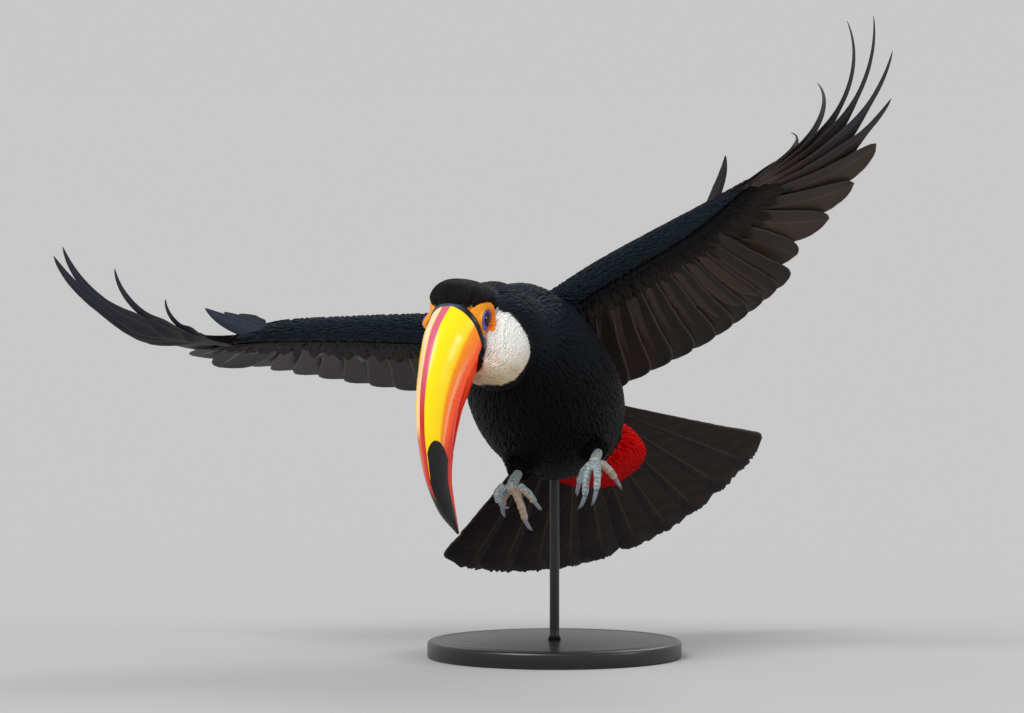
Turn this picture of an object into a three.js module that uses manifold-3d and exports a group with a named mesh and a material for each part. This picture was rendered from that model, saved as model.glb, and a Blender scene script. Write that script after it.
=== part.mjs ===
// Toco toucan, life size, braking in flight: a still bird on a plain display stand.
// Millimetres, +Z up, the bird faces -Y and its left wing points to +X.
// The origin is the centre of the underside of the stand's base.
import * as THREE from 'three';
import { mergeVertices } from 'three/addons/utils/BufferGeometryUtils.js';
import Module from 'manifold-3d';

const wasm = await Module();
wasm.setup();

// ---------------------------------------------------------------- driving dimensions
const GAP = 0.3;                          // clearance between pieces that touch
const BIRD_CENTRE = [-8, -22, 222];       // middle of the trunk above the base
const TRUNK_TURN = { yaw: 15, pitch: 20, roll: 16 };
const HEAD_TURN = { yaw: 27.5, pitch: -72, roll: 0 };
const BILL_BASE = [-69.2, -118, 50];        // from the trunk's middle

// trunk, along its own axis: [forward, up, half width, half height]
const TRUNK_STATIONS = [
  [-102, -1, 12, 10], [-92, -3, 27, 23], [-68, -8, 46, 45], [-30, -9, 59, 60], [10, -3, 62, 63],
  [45, 9, 57, 60], [72, 19, 47, 53], [92, 24, 35, 39], [103, 26, 18, 21],
];
// neck, from the trunk to the head: [x, y, z, half width, half depth]
const NECK_STATIONS = [
  [-14, -46, 32, 40, 39], [-27, -69, 46, 38, 36], [-40, -86, 58, 36, 34], [-53, -98, 69, 31, 30],
  [-64, -107, 79, 18, 18],
];
// throat bag, on the foreneck: [x, y, z, half width, half depth]
const THROAT_STATIONS = [
  [-33, -94, 9, 15, 12], [-37, -98, 20, 26, 21], [-43, -103, 35, 32, 27], [-49, -107, 51, 31, 26],
  [-56, -111, 66, 22, 18],
];
// head, in its own turned frame: [forward, up, half width, half height]
const HEAD_STATIONS = [
  [-45, 1, 10, 10], [-42, 1, 19, 20], [-35, 1, 26, 27], [-26, 2, 29, 31], [-14, 4, 28, 32],
  [-4, 8, 23, 29], [4, 10, 19, 26],
];
const EYE = { forward: -13.5, left: 21, up: 4, radius: 7.5 };

// bill, side outlines in the head's frame: [forward, up]
const CULMEN_LINE = [
  [-21, 24], [3.5, 39], [37, 45], [63, 43.5], [90, 35], [107, 25], [124, 12], [143, -17], [152, -46],
];
const TOMIUM_LINE = [
  [4, 1], [20, 4], [40, 7], [61, 8], [83, 6], [101, 1], [117, -7], [134, -22], [151, -46.5],
];
const LOWER_LINE = [[16, -14], [28, -18], [42, -17], [60, -11], [82, -9], [99, -10], [114, -15], [126, -22]];
const BILL_HALF_WIDTHS = [23, 21.5, 18, 15.5, 13.5, 11.3, 9, 7, 1.2];
const MANDIBLE_HALF_WIDTHS = [19.5, 18, 15, 12.7, 10.8, 8.6, 6.5, 1];

// tail: ten feathers in a fan, turned down from the trunk's axis and swung a little to the right
const TAIL = {
  root: [-62, 12, 11], drop: 28, tilt: 16, swing: -5, spread: 46, feathers: 10,
  start: 14, length: 188, edgeGain: 6, thickness: 1.6, scallop: 6, camber: 2,
};
// soft feathers round the tail's root, in the trunk's frame: [forward, left, up, half width, half depth]
const UNDERTAIL_STATIONS = [
  [-50, 8, -30, 26, 16], [-74, 12, -32, 42, 21], [-98, 14, -36, 43, 17], [-120, 14, -42, 33, 9],
  [-136, 14, -48, 10, 3],
];
const RUMP_STATIONS = [[-58, 3, 12, 30, 24], [-84, 7, 6, 29, 17], [-108, 8, -5, 24, 9], [-124, 7, -14, 8, 3]];

// wings, all places from the trunk's middle
const PRIMARY_LENGTHS = [132, 136, 144, 158, 176, 194, 202, 190, 132, 72];
const SECONDARIES = 12;
const LEFT_WING = {
  side: 1,
  edge: [[2, -18, 72], [41, -58, 101], [80, -88, 125], [109, -100, 142], [134, -103, 157], [160, -104, 173]],
  chords: [[-0.05, 0.83, -0.56], [0.05, 0.84, -0.55], [0.25, 0.82, -0.5], [0.5, 0.75, -0.43],
    [0.62, 0.7, -0.3], [0.7, 0.6, -0.2]],
  innerAim: [-0.08, 0.79, -0.61], wristAim: [0.62, 0.7, -0.36],
  firstPrimaryAim: [0.714, 0.661, -0.232], lastPrimaryAim: [0.812, -0.135, 0.568],
  firstBendTo: [0.206, -0.588, 0.782], lastBendTo: [0.6, 0.527, 0.602],
  bends: [2, 106], aimPower: 0.85,
  alulaAim: [0.5, 0.1, 0.86], alulaBendTo: [-0.6, 0.3, 0.6], tipTwist: 10,
};
const RIGHT_WING = {
  side: -1,
  edge: [[-52, -32, 56], [-105, -36, 56], [-160, -34, 55], [-213, -30, 52], [-235, -38, 48], [-253, -47, 43]],
  chords: [[0.14, 0.9, -0.41], [0.1, 0.91, -0.39], [0, 0.93, -0.35], [-0.15, 0.94, -0.29],
    [-0.35, 0.9, -0.25], [-0.5, 0.84, -0.2]],
  innerAim: [0.12, 0.89, -0.44], wristAim: [-0.25, 0.95, -0.2],
  firstPrimaryAim: [-0.452, 0.86, -0.236], lastPrimaryAim: [-0.987, -0.092, 0.131],
  firstBendTo: [-0.082, -0.326, 0.942], lastBendTo: [-0.038, 0.701, 0.713],
  bends: [-7, 83], aimPower: 1.13,
  alulaAim: [-0.93, -0.25, 0.2], alulaBendTo: [-0.2, 0.1, 0.97], tipTwist: 35,
};
// wing flesh with its coverts at the six places of `edge`
const ARM_CHORDS = [84, 80, 74, 62, 44, 22];
const ARM_THICKNESS = [30, 25, 21, 18, 13, 6];
const SECONDARY_LENGTHS = [156, 152, 124]; // inner, middle and outer, from behind the arm's axis
const SECONDARY = { spanStart: 0.04, spanEnd: 0.64, rootBack: 14, bend: 8, scallop: 4 };
// a primary: half widths at root and blade, the share left at the last one and in a slim finger,
// and how far its outer and inner vanes reach in half widths
const PRIMARY = { rootBack: 3, narrow: 7, wide: 15, lastShare: 0.62, fingerShare: 0.55, vanes: [-1.25, 0.75] };
const FEATHER_THICKNESS = 1.4;
const ALULA = { rootUp: 4, length: 41, bend: 30, halfWidth: 5.5 };

// legs, heel and foot from the trunk's middle; each toe: [root, knuckle, end, claw tip]
const LEFT_LEG = {
  hip: [22, 4, -34], heel: [42, -24, -47], foot: [40, -66, -53],
  toes: {
    inner_front: [[36, -69, -55], [33, -74, -67], [32, -72, -82], [26, -70, -93]],
    outer_front: [[41, -70, -56], [42, -78, -64], [41, -82, -77], [37, -83, -89]],
    inner_back: [[38, -62, -56], [31, -60, -63], [27, -58, -73], [26, -60, -83]],
    outer_back: [[44, -64, -55], [52, -60, -62], [57, -56, -69], [62, -56, -78]],
  },
};
const RIGHT_LEG = {
  hip: [-16, -4, -44], heel: [-20, -22, -62], foot: [-28, -60, -74],
  toes: {
    inner_front: [[-24, -62, -78], [-19, -64, -92], [-16, -62, -103], [-10, -60, -111]],
    outer_front: [[-22, -62, -74], [-14, -66, -80], [-8, -66, -88], [-3, -65, -94]],
    inner_back: [[-30, -58, -78], [-34, -54, -84], [-35, -51, -92], [-32, -50, -101]],
    outer_back: [[-33, -62, -74], [-39, -66, -80], [-37, -69, -88], [-29, -69, -91]],
  },
};
const THIGH_RADII = [23, 10];
const TARSUS_RADII = [5.2, 4.2, 4.4];
const TOE_RADII = [4.1, 3.6, 3];
const CLAW_RADII = [2.5, 1.9, 0.6];

// stand: a round base with a shallow rim and one upright rod into the belly
const STAND = { radius: 105, height: 14, edge: 3, rodRadius: 4, rodTop: 192 };

// ---------------------------------------------------------------- materials
function paint(color, roughness, metalness = 0) {
  return new THREE.MeshStandardMaterial({ color, roughness, metalness });
}
const BLACK_COAT = paint(0x15151a, 0.7);
const BLUISH_COAT = paint(0x1e2632, 0.6);
const WHITE_COAT = paint(0xf6f2e6, 0.8);
const RED_COAT = paint(0xb80a08, 0.75);
const FLIGHT_FEATHER = paint(0x2d2320, 0.65);
const ORANGE_HORN = paint(0xff9a0a, 0.3);
const RED_HORN = paint(0xc23a18, 0.35);
const EYE_BLUE = paint(0x5555be, 0.15);
const LEG_SKIN = paint(0x8a9ea6, 0.6);
const CLAW_HORN = paint(0x6e7386, 0.35);
const STAND_BLACK = paint(0x17181a, 0.45, 0.2);

// ---------------------------------------------------------------- vectors and curves
const vec = (a) => new THREE.Vector3(...a);
const mix = (a, b, t) => a + (b - a) * t;
const radians = THREE.MathUtils.degToRad;

/** A turned frame: forward, left and up as unit vectors. */
function turnedFrame({ yaw, pitch, roll }) {
  const [a, b, c] = [yaw, pitch, roll].map(radians);
  const forward = new THREE.Vector3(-Math.sin(a) * Math.cos(b), -Math.cos(a) * Math.cos(b), Math.sin(b));
  const level = new THREE.Vector3(Math.cos(a), -Math.sin(a), 0);
  const upright = forward.clone().cross(level);
  const left = level.multiplyScalar(Math.cos(c)).addScaledVector(upright, Math.sin(c));
  return { forward, left, up: forward.clone().cross(left) };
}

/** A point given as forward, left and up in a turned frame. */
function placed(frame, origin, f, l, u) {
  return origin.clone().addScaledVector(frame.forward, f)
    .addScaledVector(frame.left, l).addScaledVector(frame.up, u);
}

/** The direction between two directions, turned evenly. */
function between(a, b, t) {
  const angle = a.angleTo(b);
  if (angle < 1e-6) return a.clone();
  return a.clone().multiplyScalar(Math.sin((1 - t) * angle))
    .addScaledVector(b, Math.sin(t * angle)).normalize();
}

/** The part of `v` square to `axis`, as a unit vector. */
function squareTo(v, axis) {
  return v.clone().addScaledVector(axis, -v.dot(axis)).normalize();
}

/** Value of a list of numbers or vectors at t from 0 to 1, on straight pieces. */
function along(list, t) {
  const x = Math.min(Math.max(t, 0), 1) * (list.length - 1);
  const i = Math.min(Math.floor(x), list.length - 2);
  if (typeof list[0] === 'number') return mix(list[i], list[i + 1], x - i);
  return list[i].clone().lerp(list[i + 1], x - i);
}

const smooth = (points) => new THREE.CatmullRomCurve3(points.map((p) => (p.isVector3 ? p : vec(p))));

/** Smooth value of a list of numbers at t from 0 to 1. */
function smoothValue(list, t) {
  return smooth(list.map((v, i) => [i, v, 0])).getPoint(t).y;
}

// ---------------------------------------------------------------- closed surfaces
/** A closed body over rings of equal count, its two ends shut by a middle point. */
function ringBody(rings) {
  const n = rings[0].length;
  const points = rings.flat();
  const index = [];
  for (let r = 0; r + 1 < rings.length; r += 1) {
    for (let i = 0; i < n; i += 1) {
      const [a, b] = [r * n + i, r * n + (i + 1) % n];
      index.push(a, b, a + n, b, b + n, a + n);
    }
  }
  for (const [start, flip] of [[0, true], [(rings.length - 1) * n, false]]) {
    const ring = points.slice(start, start + n);
    const middle = ring.reduce((sum, p) => sum.add(p), new THREE.Vector3()).divideScalar(n);
    const tip = points.push(middle) - 1;
    for (let i = 0; i < n; i += 1) {
      const [a, b] = [start + i, start + (i + 1) % n];
      index.push(...(flip ? [b, a, tip] : [a, b, tip]));
    }
  }
  return solid(points, index);
}

/** A thin closed sheet: a grid of points with a thickness along the grid's normals. */
function sheet(grid, normals, thickness) {
  const [rows, cols] = [grid.length, grid[0].length];
  const points = [];
  for (const half of [thickness / 2, -thickness / 2]) {
    grid.forEach((row, r) => row.forEach((p, c) => points.push(p.clone().addScaledVector(normals[r][c], half))));
  }
  const index = [];
  const under = rows * cols;
  for (let r = 0; r + 1 < rows; r += 1) {
    for (let c = 0; c + 1 < cols; c += 1) {
      const a = r * cols + c;
      index.push(a, a + 1, a + cols, a + 1, a + cols + 1, a + cols);
      index.push(under + a, under + a + cols, under + a + 1, under + a + 1, under + a + cols, under + a + cols + 1);
    }
  }
  const border = [];
  for (let c = 0; c + 1 < cols; c += 1) border.push(c);
  for (let r = 0; r + 1 < rows; r += 1) border.push(r * cols + cols - 1);
  for (let c = cols - 1; c > 0; c -= 1) border.push((rows - 1) * cols + c);
  for (let r = rows - 1; r > 0; r -= 1) border.push(r * cols);
  border.forEach((a, i) => {
    const b = border[(i + 1) % border.length];
    index.push(a, under + a, b, b, under + a, under + b);
  });
  return solid(points, index);
}

/** Points and triangles as a solid, with the triangles turned to face outwards. */
function solid(points, index) {
  let volume = 0;
  for (let i = 0; i < index.length; i += 3) {
    const [a, b, c] = [points[index[i]], points[index[i + 1]], points[index[i + 2]]];
    volume += a.dot(b.clone().cross(c));
  }
  if (volume < 0) for (let i = 0; i < index.length; i += 3) [index[i], index[i + 1]] = [index[i + 1], index[i]];
  return new wasm.Manifold(new wasm.Mesh({
    numProp: 3,
    vertProperties: Float32Array.from(points.flatMap((p) => p.toArray())),
    triVerts: Uint32Array.from(index),
  }));
}

/** A three.js geometry as a solid. */
function fromGeometry(geometry) {
  geometry.deleteAttribute('normal');
  geometry.deleteAttribute('uv');
  const merged = mergeVertices(geometry, 1e-4);
  const flat = merged.attributes.position.array;
  const points = Array.from({ length: flat.length / 3 }, (_, i) => vec(flat.slice(3 * i, 3 * i + 3)));
  return solid(points, Array.from(merged.index.array));
}

/** The largest body of a solid, so that no loose chip stays. */
function largest(shape) {
  return shape.decompose().reduce((best, one) => (one.volume() > best.volume() ? one : best));
}

/** A piece less its neighbours. */
function less(shape, ...cutters) {
  return largest(cutters.reduce((rest, cutter) => rest.subtract(cutter), shape));
}

/** Everything on the side of a plane that its normal points to, as a large box. */
function beyond(point, normal) {
  const size = 900;
  const box = new THREE.BoxGeometry(size, size, size);
  box.translate(0, 0, size / 2);
  box.applyQuaternion(new THREE.Quaternion().setFromUnitVectors(new THREE.Vector3(0, 0, 1), normal));
  box.translate(point.x, point.y, point.z);
  return fromGeometry(box);
}

/** An oval ring round `centre`, spanned by two half axes. */
function oval(centre, across, high, sides) {
  return Array.from({ length: sides }, (_, i) => {
    const angle = 2 * Math.PI * i / sides;
    return centre.clone().addScaledVector(across, Math.cos(angle)).addScaledVector(high, Math.sin(angle));
  });
}

/** A body through oval stations [forward, up, half width, half height] in a turned frame. */
function stationBody(frame, origin, stations, sides, steps, grow) {
  const shape = smooth(stations.map(([f, u, w]) => [f, u, w]));
  const heights = stations.map((s) => s[3]);
  const rings = [];
  for (let i = 0; i <= steps; i += 1) {
    const at = shape.getPoint(i / steps);
    const shift = mix(-grow, grow, i / steps);
    rings.push(oval(placed(frame, origin, at.x + shift, 0, at.y), frame.left.clone().multiplyScalar(at.z + grow),
      frame.up.clone().multiplyScalar(smoothValue(heights, i / steps) + grow), sides));
  }
  return ringBody(rings);
}

/** A body along a smooth path, with half widths and half depths that change along it. */
function pathBody(points, widths, depths, sides, steps, grow, widthAim) {
  const path = smooth(points);
  const rings = [];
  for (let i = 0; i <= steps; i += 1) {
    const t = i / steps;
    const heading = path.getTangent(t);
    const across = squareTo(widthAim, heading);
    const centre = path.getPoint(t).addScaledVector(heading, mix(-grow, grow, t));
    rings.push(oval(centre, across.clone().multiplyScalar(smoothValue(widths, t) + grow),
      heading.clone().cross(across).multiplyScalar(smoothValue(depths, t) + grow), sides));
  }
  return ringBody(rings);
}

// ---------------------------------------------------------------- body and head
const trunkFrame = turnedFrame(TRUNK_TURN);
const headFrame = turnedFrame(HEAD_TURN);
const centre = new THREE.Vector3();
const billBase = vec(BILL_BASE);

const trunkBody = (grow) => stationBody(trunkFrame, centre, TRUNK_STATIONS, 18, 10, grow);
const headBody = (grow) => stationBody(headFrame, billBase, HEAD_STATIONS, 14, 7, grow);
const bodyThrough = (stations, sides, steps, grow) => pathBody(stations.map((s) => s.slice(0, 3)),
  stations.map((s) => s[3]), stations.map((s) => s[4]), sides, steps, grow, headFrame.left);
const neckBody = (grow) => bodyThrough(NECK_STATIONS, 16, 6, grow);
const throatBody = (grow) => bodyThrough(THROAT_STATIONS, 14, 6, grow);

function eyeBody(side, grow) {
  const ball = new THREE.SphereGeometry(EYE.radius + grow, 12, 8);
  const at = placed(headFrame, billBase, EYE.forward, side * EYE.left, EYE.up);
  ball.translate(at.x, at.y, at.z);
  return fromGeometry(ball);
}

/** A horn sheath between an upper and a lower side line; `flat` says which side is cut flat. */
function hornBody(upper, lower, halfWidths, flat, grow) {
  const line = (list) => smooth(list.map(([f, u]) => placed(headFrame, billBase, f, 0, u)));
  const [top, bottom] = [line(upper), line(lower)];
  const steps = 13;
  const sides = 8;
  const rings = [];
  for (let i = 0; i <= steps; i += 1) {
    const t = i / steps;
    const [a, b] = [top.getPoint(t), bottom.getPoint(t)];
    const rise = a.clone().sub(b);
    const across = headFrame.left.clone().multiplyScalar(smoothValue(halfWidths, t) + grow);
    const [foot, crest] = flat === 'lower' ? [b, rise] : [a, rise.negate()];
    crest.setLength(Math.max(crest.length(), 1) + grow);
    rings.push(Array.from({ length: sides + 1 }, (_, k) => {
      const angle = Math.PI * k / sides;
      return foot.clone().addScaledVector(across, Math.cos(angle)).addScaledVector(crest, Math.sin(angle) ** 0.8);
    }));
  }
  return ringBody(rings);
}
const upperBill = (grow) => hornBody(CULMEN_LINE, TOMIUM_LINE, BILL_HALF_WIDTHS, 'lower', grow);
const lowerBill = (grow) => hornBody(TOMIUM_LINE.slice(0, 8), LOWER_LINE, MANDIBLE_HALF_WIDTHS, 'upper', grow);

// ---------------------------------------------------------------- tail
const tailLeft = trunkFrame.left.clone().multiplyScalar(Math.cos(radians(TAIL.tilt)))
  .addScaledVector(trunkFrame.up, Math.sin(radians(TAIL.tilt)));
const tailAim = trunkFrame.forward.clone().multiplyScalar(-Math.cos(radians(TAIL.drop)))
  .addScaledVector(trunkFrame.up, -Math.sin(radians(TAIL.drop)))
  .multiplyScalar(Math.cos(radians(TAIL.swing)))
  .addScaledVector(trunkFrame.left, Math.sin(radians(TAIL.swing)));
const tailRoot = placed(trunkFrame, centre, ...TAIL.root);

/** The fan: each feather is two cells wide, with its end drawn out between them. */
function tailFan(thickness) {
  const across = squareTo(tailLeft, tailAim);
  const up = across.clone().cross(tailAim).negate();
  const columns = TAIL.feathers * 2;
  const steps = 2;
  const grid = [];
  const normals = [];
  for (let c = 0; c <= columns; c += 1) {
    const turn = mix(-1, 1, c / columns);
    const angle = radians(TAIL.spread * turn);
    const end = TAIL.length + TAIL.edgeGain * turn ** 2 - (c % 2 ? 0 : TAIL.scallop);
    const aim = tailAim.clone().multiplyScalar(Math.cos(angle)).addScaledVector(across, Math.sin(angle));
    grid.push(Array.from({ length: steps + 1 }, (_, r) => {
      const reach = mix(TAIL.start, end, r / steps);
      return tailRoot.clone().addScaledVector(aim, reach)
        .addScaledVector(up, -TAIL.camber * turn ** 2 * (reach / TAIL.length) ** 2);
    }));
    normals.push(grid[c].map(() => up));
  }
  return sheet(grid, normals, thickness);
}
/** Red feathers under the tail's root, and the white rump above it. */
const tailRootBody = (stations, grow) => pathBody(stations.map((s) => placed(trunkFrame, centre, ...s.slice(0, 3))),
  stations.map((s) => s[3]), stations.map((s) => s[4]), 14, stations.length, grow, trunkFrame.left);
const undertailBody = (grow) => tailRootBody(UNDERTAIL_STATIONS, grow);
const rumpBody = (grow) => tailRootBody(RUMP_STATIONS, grow);

// ---------------------------------------------------------------- wings
/** A feather's middle line: it sets out along `aim` and turns towards `bendTo` by `bend` degrees. */
function featherLine(root, aim, bendTo, length, bend, steps) {
  const turnTo = squareTo(bendTo, aim);
  const line = [root.clone()];
  for (let i = 0; i < steps; i += 1) {
    const angle = radians(bend) * ((i + 0.5) / steps) ** 1.5;
    const heading = aim.clone().multiplyScalar(Math.cos(angle)).addScaledVector(turnTo, Math.sin(angle));
    line.push(line[i].clone().addScaledVector(heading, length / steps));
  }
  return line;
}

/** Everything of a wing that its pieces share, worked out from its named sizes. */
function wingPlan(wing) {
  const edge = wing.edge.map(vec);
  const chords = wing.chords.map((c) => vec(c).normalize());
  const upAt = (i) => {
    const span = edge[Math.min(i + 1, 5)].clone().sub(edge[Math.max(i - 1, 0)]).normalize();
    return span.cross(chords[i]).multiplyScalar(wing.side).normalize();
  };
  const ups = chords.map((_, i) => upAt(i));
  const [aimFirst, aimLast] = [vec(wing.firstPrimaryAim).normalize(), vec(wing.lastPrimaryAim).normalize()];
  const handUp = aimFirst.clone().cross(aimLast).multiplyScalar(-wing.side).normalize();
  return { ...wing, edge, chords, ups, aimFirst, aimLast, handUp };
}

/** The wing's flesh and coverts: a rounded front edge that thins out behind. */
function armBody(plan, grow) {
  const path = smooth(plan.edge);
  const steps = 10;
  const rings = [];
  for (let i = 0; i <= steps; i += 1) {
    const t = i / steps;
    const chord = along(plan.chords, t).normalize();
    const up = squareTo(along(plan.ups, t), chord);
    const half = smoothValue(ARM_THICKNESS, t) / 2;
    const length = smoothValue(ARM_CHORDS, t);
    const profile = [[-0.5, 0], [-0.2, 0.75], [0.4, 1], [1.1, 0.95], [0.35, 0.62, 1], [0.7, 0.3, 1], [1, 0.09, 1],
      [1, -0.09, 1], [0.7, -0.3, 1], [0.35, -0.62, 1], [1.1, -0.95], [0.4, -1], [-0.2, -0.75]];
    const end = path.getTangent(t).multiplyScalar(mix(-grow, grow, t));
    rings.push(profile.map(([back, high, byChord]) => path.getPoint(t).add(end)
      .addScaledVector(chord, back * (byChord ? length : half) + Math.sign(back) * grow)
      .addScaledVector(up, high * half + Math.sign(high) * grow)));
  }
  return ringBody(rings);
}

/** The arm between two of the six places of the wing's front edge. */
function armPiece(plan, from, to) {
  const cuts = [];
  const cutAt = (i, sign) => {
    const span = plan.edge[i].clone().sub(plan.edge[i - 1]).add(plan.edge[i + 1]).sub(plan.edge[i]).normalize();
    const normal = squareTo(span, plan.chords[i]).multiplyScalar(sign);
    return beyond(plan.edge[i].clone().addScaledVector(normal, -GAP / 2), normal);
  };
  if (from > 0) cuts.push(cutAt(from, -1));
  if (to < 5) cuts.push(cutAt(to, 1));
  return cuts.reduce((rest, cutter) => rest.subtract(cutter), armBody(plan, 0));
}

/** Secondaries: one sheet, two cells to a feather, with scalloped ends. */
function secondarySheet(plan, thickness) {
  const columns = SECONDARIES * 2;
  const steps = 2;
  const grid = [];
  const normals = [];
  const [inner, wrist] = [vec(plan.innerAim).normalize(), vec(plan.wristAim).normalize()];
  for (let c = 0; c <= columns; c += 1) {
    const t = c / columns;
    const place = mix(SECONDARY.spanStart, SECONDARY.spanEnd, t);
    const chord = along(plan.chords, place).normalize();
    const root = smooth(plan.edge).getPoint(place).addScaledVector(chord, SECONDARY.rootBack);
    const aim = between(inner, wrist, t);
    const up = squareTo(along(plan.ups, place), aim);
    const length = smoothValue(SECONDARY_LENGTHS, t) - (c % 2 ? 0 : SECONDARY.scallop);
    grid.push(featherLine(root, aim, up.clone().negate(), length, SECONDARY.bend, steps));
    normals.push(grid[c].map(() => up));
  }
  return sheet(grid, normals, thickness);
}

/** One primary as a narrow blade; the outer ones are cut in to slim fingers. */
function primaryBlade(plan, k, thickness) {
  const t = k / (PRIMARY_LENGTHS.length - 1);
  const steps = 6;
  const aim = between(plan.aimFirst, plan.aimLast, t ** plan.aimPower);
  const bendTo = between(vec(plan.firstBendTo).normalize(), vec(plan.lastBendTo).normalize(), t);
  const root = plan.edge[3].clone().lerp(plan.edge[5], t).addScaledVector(plan.chords[4], PRIMARY.rootBack);
  const line = featherLine(root, aim, bendTo, PRIMARY_LENGTHS[k], mix(...plan.bends, t), steps);
  const curve = smooth(line);
  const grid = [];
  const normals = [];
  for (let i = 0; i <= steps; i += 1) {
    const s = i / steps;
    const heading = curve.getTangent(s);
    const up = squareTo(plan.handUp, heading)
      .applyAxisAngle(heading, radians(plan.tipTwist * t * s) * plan.side);
    const across = heading.clone().cross(up).multiplyScalar(plan.side);
    const slim = t > 0.4 ? mix(1, PRIMARY.fingerShare, THREE.MathUtils.smoothstep(s, 0.45, 0.7)) : 1;
    const rounded = Math.sqrt(Math.max(1 - s ** 5, 0.02));
    const full = mix(PRIMARY.narrow, PRIMARY.wide, Math.min(1, s * 2.2));
    const half = full * slim * mix(1, PRIMARY.lastShare, t) * rounded;
    grid.push(PRIMARY.vanes.map((side) => line[i].clone().addScaledVector(across, half * side)));
    normals.push([up, up]);
  }
  return sheet(grid, normals, thickness);
}
function primaryFan(plan, thickness) {
  return PRIMARY_LENGTHS.map((_, k) => primaryBlade(plan, k, thickness)).reduce((all, one) => all.add(one));
}

/** The small thumb feathers on the wrist. */
function alulaBlade(plan) {
  const aim = vec(plan.alulaAim).normalize();
  const steps = 6;
  const root = plan.edge[4].clone().addScaledVector(plan.ups[4], ALULA.rootUp);
  const line = featherLine(root, aim, vec(plan.alulaBendTo), ALULA.length, ALULA.bend, steps);
  const across = squareTo(plan.chords[4], aim);
  const up = aim.clone().cross(across);
  const grid = line.map((p, i) => [-1, 1].map((side) => p.clone()
    .addScaledVector(across, side * ALULA.halfWidth * Math.sqrt(Math.max(1 - (i / steps) ** 2, 0.02)))));
  return sheet(grid, grid.map((row) => row.map(() => up)), FEATHER_THICKNESS);
}

// ---------------------------------------------------------------- legs
const thighBody = (leg, grow) => pathBody([leg.hip, leg.heel], THIGH_RADII, THIGH_RADII, 12, 2, grow,
  trunkFrame.left);
const tarsusBody = (leg, grow) => pathBody([leg.heel, leg.foot], TARSUS_RADII, TARSUS_RADII, 8, 3, grow,
  trunkFrame.left);
function toeBody(points, grow) {
  return pathBody(points.slice(0, 3), TOE_RADII, TOE_RADII, 6, 4, grow, trunkFrame.left);
}

/** A claw from the toe's end to its tip, bowed on along the toe's own way. */
function clawBody(points, grow) {
  const bow = vec(points[2]).sub(vec(points[1])).setLength(2);
  const middle = vec(points[2]).lerp(vec(points[3]), 0.5).add(bow);
  return pathBody([points[2], middle, points[3]], CLAW_RADII, CLAW_RADII, 5, 2, grow, trunkFrame.left);
}

// ---------------------------------------------------------------- stand
function standBase() {
  const { radius, height, edge } = STAND;
  const profile = [[0, 0], [radius, 0], [radius, height - edge], [radius - edge, height], [0, height]];
  const base = new THREE.LatheGeometry(profile.map(([x, y]) => new THREE.Vector2(x, y)), 40);
  return fromGeometry(base.rotateX(Math.PI / 2));
}
function standRod(radius, bottom) {
  const length = STAND.rodTop - bottom;
  const rod = new THREE.CylinderGeometry(radius, radius, length, 12);
  return fromGeometry(rod.rotateX(Math.PI / 2).translate(0, 0, bottom + length / 2));
}

// ---------------------------------------------------------------- assembly
const toucan = new THREE.Group();
const bird = new THREE.Group();
bird.position.set(...BIRD_CENTRE);
toucan.add(bird);

function addPiece(group, name, shape, material) {
  const { vertProperties, triVerts, numProp } = shape.getMesh();
  const positions = new Float32Array(triVerts.length * 3);
  triVerts.forEach((v, i) => positions.set(vertProperties.slice(v * numProp, v * numProp + 3), 3 * i));
  const geometry = new THREE.BufferGeometry();
  geometry.setAttribute('position', new THREE.BufferAttribute(positions, 3));
  geometry.computeVertexNormals();
  const mesh = new THREE.Mesh(geometry, material);
  mesh.name = name;
  group.add(mesh);
}

const rodCutter = standRod(STAND.rodRadius + GAP, STAND.height)
  .translate(BIRD_CENTRE.map((v) => -v));
const eyeCutters = [eyeBody(1, GAP), eyeBody(-1, GAP)];
const faceCutters = [upperBill(GAP), lowerBill(GAP), ...eyeCutters];
addPiece(bird, 'bill_upper', less(upperBill(0), ...eyeCutters), ORANGE_HORN);
addPiece(bird, 'bill_lower', less(lowerBill(0), upperBill(GAP)), RED_HORN);
for (const [name, side] of [['eye_left', 1], ['eye_right', -1]]) {
  addPiece(bird, name, eyeBody(side, 0), EYE_BLUE);
}
addPiece(bird, 'head', less(headBody(0), ...faceCutters), BLACK_COAT);
addPiece(bird, 'throat', less(throatBody(0), ...faceCutters, headBody(GAP)), WHITE_COAT);
addPiece(bird, 'neck', less(neckBody(0), ...faceCutters, headBody(GAP), throatBody(GAP)), BLACK_COAT);
const frontCutters = [headBody(GAP), neckBody(GAP), throatBody(GAP), ...faceCutters];
addPiece(bird, 'trunk', less(trunkBody(0), ...frontCutters, rodCutter), BLACK_COAT);
const tail = tailFan(TAIL.thickness);
const tailCutter = tailFan(TAIL.thickness + 2 * GAP);
addPiece(bird, 'rump', less(rumpBody(0), trunkBody(GAP), tailCutter), WHITE_COAT);
const undertail = less(undertailBody(0), trunkBody(GAP), rumpBody(GAP), tailCutter, rodCutter);
addPiece(bird, 'undertail', undertail, RED_COAT);
addPiece(bird, 'tail', less(tail, trunkBody(GAP)), FLIGHT_FEATHER);

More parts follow.
